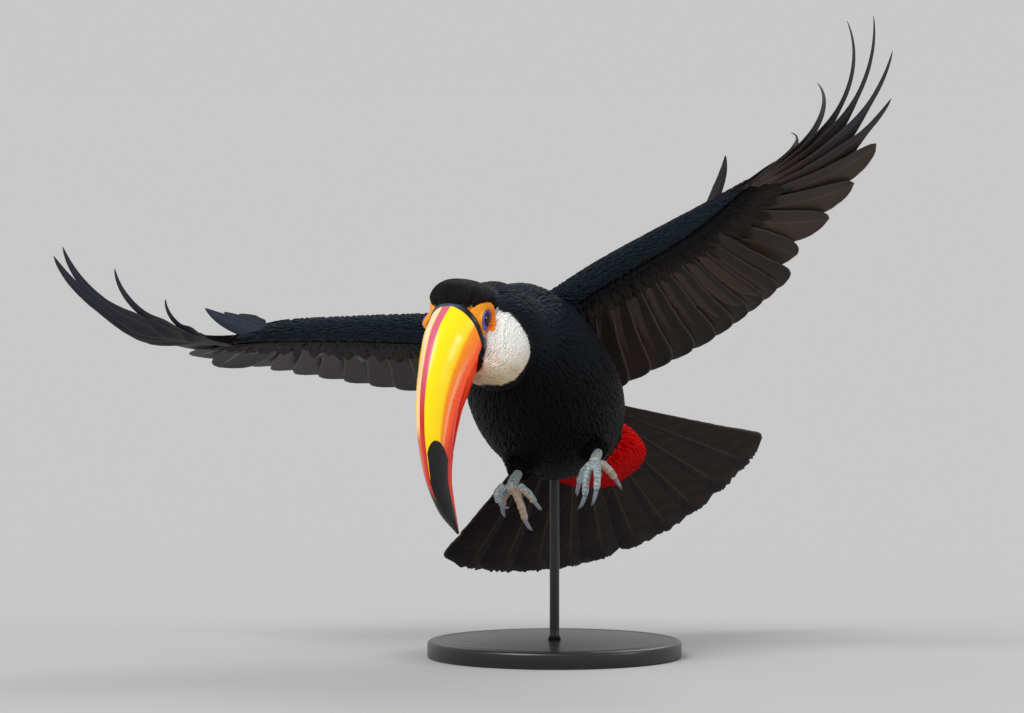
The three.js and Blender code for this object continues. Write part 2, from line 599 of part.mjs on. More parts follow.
const bodyCutters = [trunkBody(GAP), neckBody(GAP), throatBody(GAP), headBody(GAP), rumpBody(GAP)];
for (const [name, wing] of [['wing_left', LEFT_WING], ['wing_right', RIGHT_WING]]) {
  const plan = wingPlan(wing);
  const arm = armBody(plan, GAP);
  const secondaries = secondarySheet(plan, FEATHER_THICKNESS);
  addPiece(bird, `${name}_upper_arm`, less(armPiece(plan, 0, 2), ...bodyCutters), BLUISH_COAT);
  addPiece(bird, `${name}_forearm`, less(armPiece(plan, 2, 3), ...bodyCutters), BLUISH_COAT);
  addPiece(bird, `${name}_hand`, armPiece(plan, 3, 5), BLUISH_COAT);
  addPiece(bird, `${name}_alula`, less(alulaBlade(plan), arm), FLIGHT_FEATHER);
  addPiece(bird, `${name}_secondaries`, less(secondaries, arm, ...bodyCutters), FLIGHT_FEATHER);
  const secondaryCutter = secondarySheet(plan, FEATHER_THICKNESS + 2 * GAP);
  const primaries = less(primaryFan(plan, FEATHER_THICKNESS), arm, secondaryCutter);
  addPiece(bird, `${name}_primaries`, primaries, FLIGHT_FEATHER);
}

const hindCutters = [trunkBody(GAP), undertailBody(GAP), rodCutter];
for (const [name, leg] of [['leg_left', LEFT_LEG], ['leg_right', RIGHT_LEG]]) {
  addPiece(bird, `${name}_tarsus`, less(tarsusBody(leg, 0), ...hindCutters), LEG_SKIN);
  addPiece(bird, `${name}_thigh`, less(thighBody(leg, 0), ...hindCutters, tarsusBody(leg, GAP)), BLACK_COAT);
  const placedBefore = [tarsusBody(leg, GAP), thighBody(leg, GAP), tailCutter];
  for (const [toe, points] of Object.entries(leg.toes)) {
    addPiece(bird, `${name}_toe_${toe}`, less(toeBody(points, 0), ...placedBefore), LEG_SKIN);
    placedBefore.push(toeBody(points, GAP));
    addPiece(bird, `${name}_claw_${toe}`, less(clawBody(points, 0), ...placedBefore), CLAW_HORN);
    placedBefore.push(clawBody(points, GAP));
  }
}

addPiece(toucan, 'stand_base', standBase(), STAND_BLACK);
addPiece(toucan, 'stand_rod', standRod(STAND.rodRadius, STAND.height + GAP), STAND_BLACK);

export default toucan;
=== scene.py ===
"""Looks of a life-size toco toucan that brakes in flight on a plain display stand.

Shapes are worked out in millimetres from the middle of the bird's trunk, +Z up, with the bird facing -Y
and its left wing towards +X, and are put into the row frame, in metres, when a mesh is made.
"""

import logging
from collections.abc import Callable
from dataclasses import dataclass, field
from enum import Enum, IntEnum
from functools import cached_property

import bpy
import numpy as np
from mathutils import Matrix, Vector
from mathutils.bvhtree import BVHTree


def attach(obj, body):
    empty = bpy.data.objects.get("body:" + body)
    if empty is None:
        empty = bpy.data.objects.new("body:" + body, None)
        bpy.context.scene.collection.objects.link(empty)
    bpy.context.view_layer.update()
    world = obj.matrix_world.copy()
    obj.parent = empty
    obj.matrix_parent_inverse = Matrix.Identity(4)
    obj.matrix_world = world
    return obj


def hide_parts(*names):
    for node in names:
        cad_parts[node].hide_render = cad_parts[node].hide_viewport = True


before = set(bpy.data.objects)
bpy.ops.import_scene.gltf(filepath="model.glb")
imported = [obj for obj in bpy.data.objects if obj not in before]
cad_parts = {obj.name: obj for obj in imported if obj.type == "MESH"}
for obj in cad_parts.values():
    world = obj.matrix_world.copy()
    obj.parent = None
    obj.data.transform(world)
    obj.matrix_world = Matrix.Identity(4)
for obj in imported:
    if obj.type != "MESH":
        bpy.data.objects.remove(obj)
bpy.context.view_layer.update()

LOG = logging.getLogger("toucan")
Array = np.ndarray
Object = bpy.types.Object
Material = bpy.types.Material
Rng = np.random.Generator
MM = 0.001
SEED = 41
TURN = 6.283        # radians in one turn

# ---- driving dimensions, as in the solids
BIRD_CENTRE = (-8, -22, 222)
TRUNK_TURN = (15, 20, 16)       # yaw, pitch and roll in degrees
HEAD_TURN = (27.5, -72, 0)
BILL_BASE = (-69.2, -118, 50)

TRUNK_STATIONS = (
    (-102, -1, 12, 10), (-92, -3, 27, 23), (-68, -8, 46, 45), (-30, -9, 59, 60), (10, -3, 62, 63),
    (45, 9, 57, 60), (72, 19, 47, 53), (92, 24, 35, 39), (103, 26, 18, 21),
)  # forward, up, half width, half height
NECK_STATIONS = (
    (-14, -46, 32, 40, 39), (-27, -69, 46, 38, 36), (-40, -86, 58, 36, 34), (-53, -98, 69, 31, 30),
    (-64, -107, 79, 18, 18),
)  # x, y, z, half width, half depth
THROAT_STATIONS = (
    (-33, -94, 9, 15, 12), (-37, -98, 20, 26, 21), (-43, -103, 35, 32, 27), (-49, -107, 51, 31, 26),
    (-56, -111, 66, 22, 18),
)
# the head's flesh where the horn sheath covers its front
SKULL_STATIONS = (
    (-45, 1, 10, 10), (-42, 1, 19, 20), (-35, 1, 26, 27), (-26, 1, 29, 28), (-17, -1, 28.5, 26),
    (-8, -2, 26, 24), (2, -3, 20, 18),
)
UNDERTAIL_STATIONS = (
    (-50, 8, -30, 26, 16), (-74, 12, -32, 42, 21), (-98, 14, -36, 43, 17), (-120, 14, -42, 33, 9),
    (-136, 14, -48, 10, 3),
)
RUMP_STATIONS = ((-58, 3, 12, 30, 24), (-84, 7, 6, 29, 17), (-108, 8, -5, 24, 9), (-124, 7, -14, 8, 3))

EYE_FORWARD, EYE_UP = (-13.5, 4)    # from the bill's base
CULMEN_LINE = (
    (-21, 24), (3.5, 39), (37, 45), (63, 43.5), (90, 35), (107, 25), (124, 12), (143, -17), (152, -46),
)
TOMIUM_LINE = (
    (4, 1), (20, 4), (40, 7), (61, 8), (83, 6), (101, 1), (117, -7), (134, -22), (151, -46.5),
)
LOWER_LINE = ((16, -14), (28, -18), (42, -17), (60, -11), (82, -9), (99, -10), (114, -15), (126, -22))
BILL_HALF_WIDTHS = (23, 21.5, 18, 15.5, 13.5, 11.3, 9, 7, 1.2)
MANDIBLE_HALF_WIDTHS = (19.5, 18, 15, 12.7, 10.8, 8.6, 6.5, 1)

PRIMARY_LENGTHS = (132, 136, 144, 158, 176, 194, 202, 190, 132, 72)
SECONDARY_LENGTHS = (156, 152, 124)
ARM_CHORDS = (84, 80, 74, 62, 44, 22)
ARM_THICKNESS = (30, 25, 21, 18, 13, 6)


# ---- vectors and curves
def unit(v: Array | tuple) -> Array:
    """Vectors at length 1."""
    v = np.asarray(v, float)
    return v / np.maximum(np.linalg.norm(v, axis=-1, keepdims=True), 1e-12)


def dot(a: Array, b: Array) -> Array:
    """Dot product over the last axis, which stays with length 1."""
    return (a * b).sum(-1, keepdims=True)


def square_to(v: Array, axis: Array) -> Array:
    """The part of v at right angles to the unit vector axis, at length 1."""
    return unit(v - dot(v, axis) * axis)


def mix(a: Array | float, b: Array | float, t: Array | float) -> Array | float:
    """Straight mix from a at t = 0 to b at t = 1."""
    return a + (b - a) * t


def smoothstep(x: Array, low: float, high: float) -> Array:
    """0 below low and 1 above high, with t*t*(3 - 2t) between."""
    t = np.clip((x - low) / (high - low), 0, 1)
    return t * t * (3 - 2 * t)


def hump(x: Array, centre: float, width: float) -> Array:
    """A soft bump 1 high: exp(-((x - centre) / width)^2)."""
    return np.exp(-(((x - centre) / width) ** 2))


def between(a: tuple, b: tuple, t: Array) -> Array:
    """Directions turned evenly from a to b: (sin((1-t)w) a + sin(tw) b) / sin w.

    Args:
        a: first direction.
        b: last direction, not along a.
        t: shares of the turn, of any shape.

    Returns:
        Unit vectors, one for each t.
    """
    a, b = unit((a, b))
    w = np.arccos(np.clip(float(np.dot(a, b)), -1, 1))
    t = np.asarray(t, float)[..., None]
    return unit(np.sin((1 - t) * w) * a + np.sin(t * w) * b)


def turned(v: Array, axis: Array, angle: float) -> Array:
    """v turned about the unit vectors axis by angle: v cos + (axis x v) sin + axis (axis.v)(1 - cos)."""
    c, s = np.cos(angle), np.sin(angle)
    return v * c + np.cross(axis, v) * s + axis * dot(axis, v) * (1 - c)


def oval_rings(centres: Array, across: Array, high: Array, wide: Array, tall: Array, sides: int) -> Array:
    """Oval rings: a ring's point at angle a is centre + across wide cos(a) + high tall sin(a).

    Args:
        centres: N by 3.
        across: N unit vectors.
        high: N unit vectors.
        wide: half widths along across, N.
        tall: half widths along high, N.
        sides: points on a ring.

    Returns:
        N by sides by 3.
    """
    a = np.linspace(0, 2 * np.pi, sides, endpoint=False)[None, :, None]
    wide, tall = wide[:, None, None], tall[:, None, None]
    return centres[:, None] + across[:, None] * np.cos(a) * wide + high[:, None] * np.sin(a) * tall


def taper(s: Array, power: Array | float, least: float = 0.01, soft: float = 0.6) -> Array:
    """A vane's share of its width at shares of its length: max(1 - s^power, least)^soft."""
    return np.maximum(1 - s**power, least) ** soft


class Curve:
    """A centripetal Catmull-Rom curve through points, read from 0 to 1 evenly by points."""

    STEP = 1e-4

    def __init__(self, points: Array) -> None:
        """Keeps the points and one more past each end, mirrored there."""
        p = np.asarray(points, float)
        self.points = np.concatenate([[2 * p[0] - p[1]], p, [2 * p[-1] - p[-2]]])

    def at(self, t: Array) -> Array:
        """Places on the curve.

        Each stretch is a cubic whose end slopes weigh the neighbouring steps by the square roots of
        their lengths.

        Args:
            t: shares from 0 to 1, of any shape.

        Returns:
            One point for each t.
        """
        stretches = len(self.points) - 3    # one stretch needs four points
        x = np.clip(np.asarray(t, float), 0, 1) * stretches
        i = np.minimum(x.astype(int), stretches - 1)
        w = (x - i)[..., None]
        p0, p1, p2, p3 = (self.points[i + k] for k in range(4))
        d0, d1, d2 = (np.sqrt(np.linalg.norm(b - a, axis=-1, keepdims=True))
                      for a, b in ((p0, p1), (p1, p2), (p2, p3)))
        slope1 = ((p1 - p0) / d0 - (p2 - p0) / (d0 + d1) + (p2 - p1) / d1) * d1
        slope2 = ((p2 - p1) / d1 - (p3 - p1) / (d1 + d2) + (p3 - p2) / d2) * d1
        square = -3 * p1 + 3 * p2 - 2 * slope1 - slope2
        cube = 2 * p1 - 2 * p2 + slope1 + slope2
        return p1 + slope1 * w + square * w**2 + cube * w**3

    def heading(self, t: Array) -> Array:
        """Unit vectors along the curve, by a short step to each side of t."""
        return unit(self.at(t + self.STEP) - self.at(t - self.STEP))


def smooth_value(values: Array | tuple, t: Array) -> Array:
    """A list of numbers read smoothly at t from 0 to 1."""
    steps = np.stack([np.arange(len(values)), values, np.zeros(len(values))], -1)
    return Curve(steps).at(t)[..., 1]


def along(vectors: Array, t: Array) -> Array:
    """A list of vectors read on straight pieces.

    Args:
        vectors: N by 3.
        t: shares from 0 to 1 of the way through the list, of any shape.

    Returns:
        One vector for each t.
    """
    x = np.clip(t, 0, 1) * (len(vectors) - 1)
    i = np.minimum(x.astype(int), len(vectors) - 2)
    return mix(vectors[i], vectors[i + 1], (x - i)[..., None])


def wobble(points: Array, size: float, seed: int) -> Array:
    """A soft random-looking value: a third of the sum of six sines of the place along seeded directions.

    Args:
        points: N by 3.
        size: millimetres over which it changes.
        seed: number of the pattern.

    Returns:
        N numbers from about -1 to 1.
    """
    rng = np.random.default_rng(seed)
    waves = unit(rng.normal(size=(6, 3))) * (2 * np.pi / size) * rng.uniform(0.6, 1.7, (6, 1))
    return np.sin(points @ waves.T + rng.uniform(0, 6.3, 6)).sum(-1) / 3


@dataclass(frozen=True)
class TurnedFrame:
    """Forward, left and up of a body turned by yaw, pitch and roll, with its origin."""

    forward: Array
    left: Array
    up: Array
    origin: Array

    @classmethod
    def from_turn(cls, turn: tuple[float, float, float], origin: tuple[float, float, float]) -> "TurnedFrame":
        """A frame that first faces -Y.

        Args:
            turn: degrees that yaw turns the nose to -X, pitch lifts it and roll lifts the left side.
            origin: its origin.

        Returns:
            The turned frame.
        """
        a, b, c = np.radians(turn)
        forward = np.array([-np.sin(a) * np.cos(b), -np.cos(a) * np.cos(b), np.sin(b)])
        level = np.array([np.cos(a), -np.sin(a), 0])
        left = level * np.cos(c) + np.cross(forward, level) * np.sin(c)
        return cls(forward, left, np.cross(forward, left), np.asarray(origin, float))

    def place(self, f: Array, l: Array, u: Array) -> Array:
        """Points given as forward, left and up."""
        f, l, u = (np.asarray(x, float)[..., None] for x in (f, l, u))
        return self.origin + self.forward * f + self.left * l + self.up * u

    def read(self, points: Array) -> tuple[Array, Array, Array]:
        """Forward, left and up of points."""
        d = points - self.origin
        return d @ self.forward, d @ self.left, d @ self.up


TRUNK = TurnedFrame.from_turn(TRUNK_TURN, (0, 0, 0))
HEAD = TurnedFrame.from_turn(HEAD_TURN, BILL_BASE)


@dataclass(frozen=True)
class BillSeat:
    """Where the flesh of the head is drawn in to meet the base of the bill."""

    under_horn: float = 1.0     # how far the flesh lies inside the horn's edge
    swell: float = 20.0         # the face reaches its full width this far behind the edge
    face: float = 27.5
    least: float = 6.0
    throat: float = 34.0        # the flesh under the bill isn't narrowed
    ring: float = 3.6           # width of the bare black ring round the lower half's base

    GAPE_FORWARD, GAPE_UP = TOMIUM_LINE[0]
    OVER_GAPE = (23, 25, 34)    # rise, run and length of the horn's base line over the gape
    UNDER_GAPE = (15, 12, 19.2)
    BULGE = 2.5                 # power of the horn's oval outline
    NEAR = ((-46, 45), (-17, 45))   # forward and up: the stretch of the head that is drawn in
    NEAR_SIDE = 34              # and how far to each side

    def behind(self, f: Array, u: Array) -> Array:
        """Millimetres behind the horn's base line, which leans back over the gape and forward under it."""
        over, under = (-((f - self.GAPE_FORWARD) * rise + (u - self.GAPE_UP) * run) / length
                       for rise, run, length in (self.OVER_GAPE, self.UNDER_GAPE))
        return np.where(u > self.GAPE_UP, over, under)

    def horn(self, u: Array) -> Array:
        """Half width of the horn's base, with a half oval over the gape and one under it.

        Args:
            u: up of the bill's base.

        Returns:
            Half widths.
        """
        high = u - self.GAPE_UP
        over, under = (width * np.sqrt(np.clip(1 - (np.maximum(part, 0) / tall) ** self.BULGE, 0, 1))
                       for width, part, tall in ((BILL_HALF_WIDTHS[0], high, self.OVER_GAPE[0]),
                                                 (MANDIBLE_HALF_WIDTHS[0], -high, self.UNDER_GAPE[0])))
        return np.where(high > 0, over, under)

    def cap(self, f: Array, u: Array) -> Array:
        """Greatest half width of the flesh: just under the horn's edge there, wider behind and below it.

        Args:
            f: forward of the bill's base.
            u: up of the bill's base.

        Returns:
            The half widths.
        """
        horn = np.maximum(self.horn(u), self.least)
        width = horn - self.under_horn + (self.face - horn) * smoothstep(self.behind(f, u), 0, self.swell)
        return mix(width, self.throat, smoothstep(-u, 1, 15) + smoothstep(u, 20, 26))

    def ringed(self, f: Array, l: Array, u: Array, margin: float) -> Array:
        """Whether flesh lies in the bare ring beside the lower half's base or in front of it."""
        low = (u <= 1) & (u > -19) & (self.behind(f, u) < self.ring + margin)
        return low & (f < 45) & (np.abs(l) < self.horn(u) + self.ring + margin)

    def draw_in(self, points: Array) -> Array:
        """Moves points near the bill's base in sideways to the cap.

        Args:
            points: N by 3.

        Returns:
            The moved points.
        """
        f, l, u = HEAD.read(points)
        (rear, front), (low, top) = self.NEAR
        near = (f > rear) & (f < front) & (u > low) & (u < top) & (np.abs(l) < self.NEAR_SIDE)
        narrow = np.where(near, np.minimum(np.abs(l), self.cap(f, u)), np.abs(l))
        return points + HEAD.left * ((narrow - np.abs(l)) * np.sign(l))[:, None]


BILL_SEAT = BillSeat()


# ---- meshes from grids
def grid_faces(rows: int, cols: int, wrap: bool, loop: bool = False) -> Array:
    """Quads over a grid.

    Args:
        rows: its rows.
        cols: its columns.
        wrap: whether the last column joins the first.
        loop: whether the last row joins the first.

    Returns:
        N by 4.
    """
    r = np.arange(rows if loop else rows - 1)[:, None] * cols
    c = np.arange(cols if wrap else cols - 1)
    a, b = r + c, r + (c + 1) % cols
    return np.stack([a, b, (b + cols) % (rows * cols), (a + cols) % (rows * cols)], -1).reshape(-1, 4)


def tiled(faces: Array, copies: int, step: int) -> Array:
    """The same faces for each of several copies whose vertices are `step` apart."""
    return (faces[None] + np.arange(copies)[:, None, None] * step).reshape(-1, faces.shape[1])


def outward(points: Array, faces: list[Array]) -> list[Array]:
    """The faces, turned round if the sum of a . (b x c) over fans of triangles, six volumes, is negative."""
    volume = sum((points[f[:, 0]] * np.cross(points[f[:, k]], points[f[:, k + 1]])).sum()
                 for f in faces for k in range(1, f.shape[1] - 1))
    return faces if volume >= 0 else [f[:, ::-1] for f in faces]


def add_object(name: str, data: bpy.types.ID) -> Object:
    """A new object in the scene, at the origin.

    Args:
        name: its name.
        data: its mesh, light or camera.

    Returns:
        The object.
    """
    made = bpy.data.objects.new(name, data)
    bpy.context.scene.collection.objects.link(made)
    return made


@dataclass
class Build:
    """A mesh under construction: points, faces, and what each point or face corner carries."""

    points: list[Array] = field(default_factory=list)
    faces: list[Array] = field(default_factory=list)
    values: dict[str, list[Array]] = field(default_factory=dict)
    corners: list[Array] = field(default_factory=list)
    count: int = 0

    def add(self, points: Array, faces: list[Array], uv: Array | None = None, **values: Array) -> None:
        """Adds a part.

        Args:
            points: its vertices in millimetres from the trunk's middle, of any grid shape.
            faces: arrays of triangles or quads that index its own vertices.
            uv: a place on the bake's map for each of its vertices.
            values: a number or a colour for each vertex, by attribute name.
        """
        points = points.reshape(-1, 3)
        for f in faces:
            self.faces.append(f + self.count)
            if uv is not None:
                self.corners.append(uv.reshape(-1, 2)[f].reshape(-1, 2))
        for name, value in values.items():
            self.values.setdefault(name, []).append(np.asarray(value, float).reshape(len(points), -1))
        self.points.append(points)
        self.count += len(points)

    def tube(self, rings: Array, **values: Array) -> None:
        """Adds a closed body over rings of points, its two ends shut by a middle point.

        Args:
            rings: rows by sides by 3.
            values: a number for each vertex of the rings, by attribute name.
        """
        rows, sides = rings.shape[:2]
        points = np.concatenate([rings.reshape(-1, 3), [rings[0].mean(0), rings[-1].mean(0)]])
        ring = np.arange(sides)
        after = (ring + 1) % sides
        last = (rows - 1) * sides
        caps = np.concatenate([
            np.stack([after, ring, np.full(sides, rows * sides)], -1),
            np.stack([last + ring, last + after, np.full(sides, rows * sides + 1)], -1),
        ])
        full = {}
        for name, value in values.items():
            value = np.broadcast_to(np.asarray(value, float), (rows, sides))
            full[name] = np.concatenate([value.ravel(), [value[0].mean(), value[-1].mean()]])
        self.add(points, outward(points, [grid_faces(rows, sides, True), caps]), **full)

    def make(self, name: str) -> Object:
        """Puts the parts into one new mesh object in the row frame.

        Args:
            name: the piece's name.

        Returns:
            The object, at the origin, with smooth faces.
        """
        mesh = bpy.data.meshes.new(name)
        points = (np.concatenate(self.points) + BIRD_CENTRE) * MM
        loops = np.concatenate([f.ravel() for f in self.faces])
        sizes = np.concatenate([np.full(len(f), f.shape[1]) for f in self.faces])
        mesh.vertices.add(len(points))
        mesh.vertices.foreach_set("co", points.astype(np.float32).ravel())
        mesh.loops.add(len(loops))
        mesh.loops.foreach_set("vertex_index", loops.astype(np.int32))
        mesh.polygons.add(len(sizes))
        mesh.polygons.foreach_set("loop_start", (np.cumsum(sizes) - sizes).astype(np.int32))
        mesh.polygons.foreach_set("use_smooth", np.ones(len(sizes), bool))
        mesh.update(calc_edges=True)
        if self.corners:
            layer = mesh.uv_layers.new(name="OFBake")
            layer.data.foreach_set("uv", np.concatenate(self.corners).astype(np.float32).ravel())
        for key, parts in self.values.items():
            value = np.concatenate(parts).astype(np.float32)
            if value.shape[1] == 1:
                mesh.attributes.new(key, "FLOAT", "POINT").data.foreach_set("value", value.ravel())
            else:
                colour = np.concatenate([value, np.ones((len(value), 1), np.float32)], 1)
                mesh.attributes.new(key, "FLOAT_COLOR", "POINT").data.foreach_set("color", colour.ravel())
        return add_object(name, mesh)


@dataclass(frozen=True)
class Flesh:
    """Vertices, normals and triangles of one closed skin over joined bodies, in millimetres."""

    vertices: Array
    normals: Array
    triangles: Array

    @classmethod
    def joined(cls, bodies: Build, voxel: float, smoothing: int) -> "Flesh":
        """Joins overlapping closed bodies into one skin.

        Args:
            bodies: the bodies' mesh.
            voxel: grain of the new skin, in millimetres.
            smoothing: how often it is smoothed.

        Returns:
            The skin.
        """
        rough = bodies.make("flesh")
        remesh = rough.modifiers.new("join", "REMESH")
        remesh.mode = "VOXEL"
        remesh.voxel_size = voxel * MM
        smooth = rough.modifiers.new("smooth", "SMOOTH")
        smooth.iterations = smoothing
        smooth.factor = 0.5
        done = rough.evaluated_get(bpy.context.evaluated_depsgraph_get()).to_mesh()
        done.calc_loop_triangles()
        vertices = np.empty(len(done.vertices) * 3, np.float32)
        done.vertices.foreach_get("co", vertices)
        triangles = np.empty(len(done.loop_triangles) * 3, np.int32)
        done.loop_triangles.foreach_get("vertices", triangles)
        bpy.data.objects.remove(rough)
        return cls.of(vertices.reshape(-1, 3) / MM - BIRD_CENTRE, triangles.reshape(-1, 3))

    @classmethod
    def of(cls, vertices: Array, triangles: Array) -> "Flesh":
        """A skin whose normals are the sums of the areas of the faces that meet at each vertex.

        Args:
            vertices: N by 3.
            triangles: M by 3.

        Returns:
            The skin.
        """
        corner = vertices[triangles]
        area = np.cross(corner[:, 1] - corner[:, 0], corner[:, 2] - corner[:, 0])
        normals = np.stack([np.bincount(triangles.ravel(), np.repeat(area[:, k], 3), len(vertices))
                            for k in range(3)], 1)
        return cls(vertices, unit(normals), triangles)


def fit_out(obj: Object, material: Material, slot: str, *nodes: str) -> None:
    """Dresses a finished piece, lets it ride on the row's only body and names what it stands for.

    Args:
        obj: the piece.
        material: its finish.
        slot: the record's material slot; not used.
        nodes: the solids that it stands for.
    """
    obj.data.materials.append(material)
    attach(obj, "root")
    if nodes:
        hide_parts(*nodes)
    LOG.info("%s: %d faces for %s", obj.name, len(obj.data.polygons), ", ".join(nodes) or "no solid")


# ---- shaders
def math_node(operation: str, swapped: bool = False) -> Callable[..., "Signal"]:
    """Makes a method of Signal that puts it through one Math node.

    Args:
        operation: the node's operation.
        swapped: whether the other value comes first.

    Returns:
        The method.
    """
    def method(self: "Signal", *others: "Signal | float") -> "Signal":
        """The node's result for self and the other value, if there is one."""
        values = (*others, self) if swapped else (self, *others)
        return self.shader.node("Math", {"operation": operation}, dict(enumerate(values)))

    return method


class Signal:
    """A shader socket that takes part in Python expressions; each operator adds a Math node."""

    __add__ = __radd__ = math_node("ADD")
    __sub__ = math_node("SUBTRACT")
    __rsub__ = math_node("SUBTRACT", swapped=True)
    __mul__ = __rmul__ = math_node("MULTIPLY")
    __pow__ = math_node("POWER")
    __abs__ = math_node("ABSOLUTE")
    wave = math_node("SINE")
    least = math_node("MINIMUM")
    most = math_node("MAXIMUM")

    def __init__(self, shader: "Shader", socket: bpy.types.NodeSocket) -> None:
        """Wraps an output socket of the shader's tree."""
        self.shader = shader
        self.socket = socket

    def rise(self, low: float, high: float) -> "Signal":
        """0 up to low, 1 from high on, smooth between; low may be the larger one."""
        values = (self, low, high, 0.0, 1.0) if low <= high else (self, high, low, 1.0, 0.0)
        return self.shader.node("MapRange", {"interpolation_type": "SMOOTHSTEP"}, dict(enumerate(values)))


class Shader:
    """A new material's node tree, with its Principled shader."""

    def __init__(self, name: str, **constants: float | tuple[float, ...]) -> None:
        """Makes the material and sets numbers that are the same all over its surface.

        Args:
            name: the material's name.
            constants: values of the Principled shader's sockets, with _ for a space.
        """
        self.material = bpy.data.materials.new(name)
        self.material.use_nodes = True
        self.tree = self.material.node_tree
        self.surface = self.tree.nodes["Principled BSDF"]
        for key, value in constants.items():
            self.surface.inputs[key.replace("_", " ")].default_value = value

    def node(self, kind: str, settings: dict, inputs: dict, output: str | int = 0) -> Signal:
        """Adds a node.

        Args:
            kind: its type, without the word ShaderNode.
            settings: its own properties, set first.
            inputs: a value or signal for each input, by name or number.
            output: the output that is wanted.

        Returns:
            That output as a signal.
        """
        made = self.tree.nodes.new("ShaderNode" + kind)
        for key, value in settings.items():
            setattr(made, key, value)
        for key, value in inputs.items():
            if isinstance(value, Signal):
                self.tree.links.new(value.socket, made.inputs[key])
            else:
                made.inputs[key].default_value = value
        return Signal(self, made.outputs[output])

    def attribute(self, name: str, output: str = "Fac") -> Signal:
        """A value that the mesh carries."""
        return self.node("Attribute", {"attribute_name": name}, {}, output)

    def place(self) -> Signal:
        """The point's Object coordinates."""
        return self.node("TexCoord", {}, {}, "Object")

    def noise(self, vector: Signal, scale: float, detail: float = 2.0, roughness: float = 0.5) -> Signal:
        """Noise from 0 to 1 with about `scale` bumps to the unit of the vector."""
        return self.node("TexNoise", {}, {"Vector": vector, "Scale": scale, "Detail": detail,
                                          "Roughness": roughness})

    def cells(self, vector: Signal, scale: float) -> Signal:
        """Distance to the edges of Voronoi cells, about `scale` of them to the unit of the vector."""
        return self.node("TexVoronoi", {"feature": "DISTANCE_TO_EDGE"}, {"Vector": vector, "Scale": scale})

    def stretched(self, vector: Signal, scale: tuple[float, float, float]) -> Signal:
        """The vector scaled along its axes."""
        return self.node("Mapping", {}, {"Vector": vector, "Scale": scale})

    def joined(self, x: Signal | float, y: Signal | float, z: Signal | float = 0.0) -> Signal:
        """Three numbers as a vector."""
        return self.node("CombineXYZ", {}, {0: x, 1: y, 2: z})

    def blend(self, share: Signal | float, a: "Signal | tuple", b: "Signal | tuple",
              how: str = "MIX") -> Signal:
        """Colour a where share is 0 and b where it is 1, by one of Mix's blend types."""
        a, b = ((*c, 1.0) if isinstance(c, tuple) else c for c in (a, b))
        return self.node("Mix", {"data_type": "RGBA", "blend_type": how}, {0: share, 6: a, 7: b}, 2)

    def link(self, **signals: Signal) -> None:
        """Feeds the Principled shader's sockets, with _ for a space."""
        for key, signal in signals.items():
            self.tree.links.new(signal.socket, self.surface.inputs[key.replace("_", " ")])

    def bump(self, height: Signal, strength: float, distance: float) -> None:
        """Feeds the shader's normal with a height in shares of `distance` metres."""
        values = {"Height": height, "Strength": strength, "Distance": distance}
        self.link(Normal=self.node("Bump", {}, values))


def srgb(red: float, green: float, blue: float) -> tuple[float, float, float]:
    """A screen colour from 0 to 255 as linear light, by the power 2.2."""
    return tuple((c / 255) ** 2.2 for c in (red, green, blue))


# ---- colours of the plumage
class Hue(Enum):
    """Feather colours, as linear light."""

    CAP = srgb(30, 27, 29)
    BELLY = srgb(7, 7, 8)
    # a painted bluish sheen on the black plumage
    BLUISH = srgb(31, 39, 49)
    WHITE = srgb(255, 254, 248)
    CREAM = srgb(218, 190, 138)
    RED = srgb(212, 6, 5)
    RUMP = srgb(240, 236, 222)
    COVERT = srgb(24, 25, 31)
    UNDER = srgb(44, 37, 34)
    FACE = srgb(255, 130, 16)

    @property
    def light(self) -> Array:
        """The colour as an array."""
        return np.array(self.value)


@dataclass(frozen=True)
class PlumageFinish:
    """Soft feathers in the colour that each one carries, with fine barbs and a dull sheen."""

    name: str
    roughness: float = 0.5
    sheen: float = 0.02
    specular: float = 0.07
    barbs: float = 26.0         # barbs along one feather
    contrast: float = 1.0       # of the shading along a feather
    relief: float = 0.00025     # metres

    def material(self) -> Material:
        """Colour darkens to the feather's root, a painted shade where it goes under the feathers before it;
        slanted lines on the vane are the barbs.

        Returns:
            The material.
        """
        s = Shader(self.name, Roughness=self.roughness, Sheen_Weight=self.sheen, Sheen_Roughness=0.45,
                   Specular_IOR_Level=self.specular)
        side = s.attribute("vane_side")
        length = s.attribute("vane_length")
        lines = ((length - abs(side) * 0.35) * (self.barbs * TURN)).wave()
        # painted shade: each feather darkens towards its root, under the feather before it
        shade = (length.rise(0.0, 0.55) * 0.16 + lines * 0.03 - 0.16) * self.contrast + 1.0
        grey = s.joined(shade, shade, shade)
        s.link(Base_Color=s.blend(1.0, s.attribute("plumage", "Color"), grey, "MULTIPLY"))
        s.bump(lines * 0.5 + (1 - abs(side)).rise(0.0, 0.25), 0.35, self.relief)
        return s.material


class SkinFinish:
    """Bare skin under the coat, in the coat's own colours."""

    def material(self) -> Material:
        """The carried colour, mottled and finely creased.

        Returns:
            The material.
        """
        s = Shader("skin under coat", Roughness=0.7, Specular_IOR_Level=0.25)
        place = s.place()
        mottle = s.noise(place, 90) * 0.3 + 0.8
        s.link(Base_Color=s.blend(1.0, s.attribute("plumage", "Color"), s.joined(mottle, mottle, mottle),
                                  "MULTIPLY"))
        s.bump(s.noise(place, 700, 4.0), 0.4, 0.0006)
        return s.material


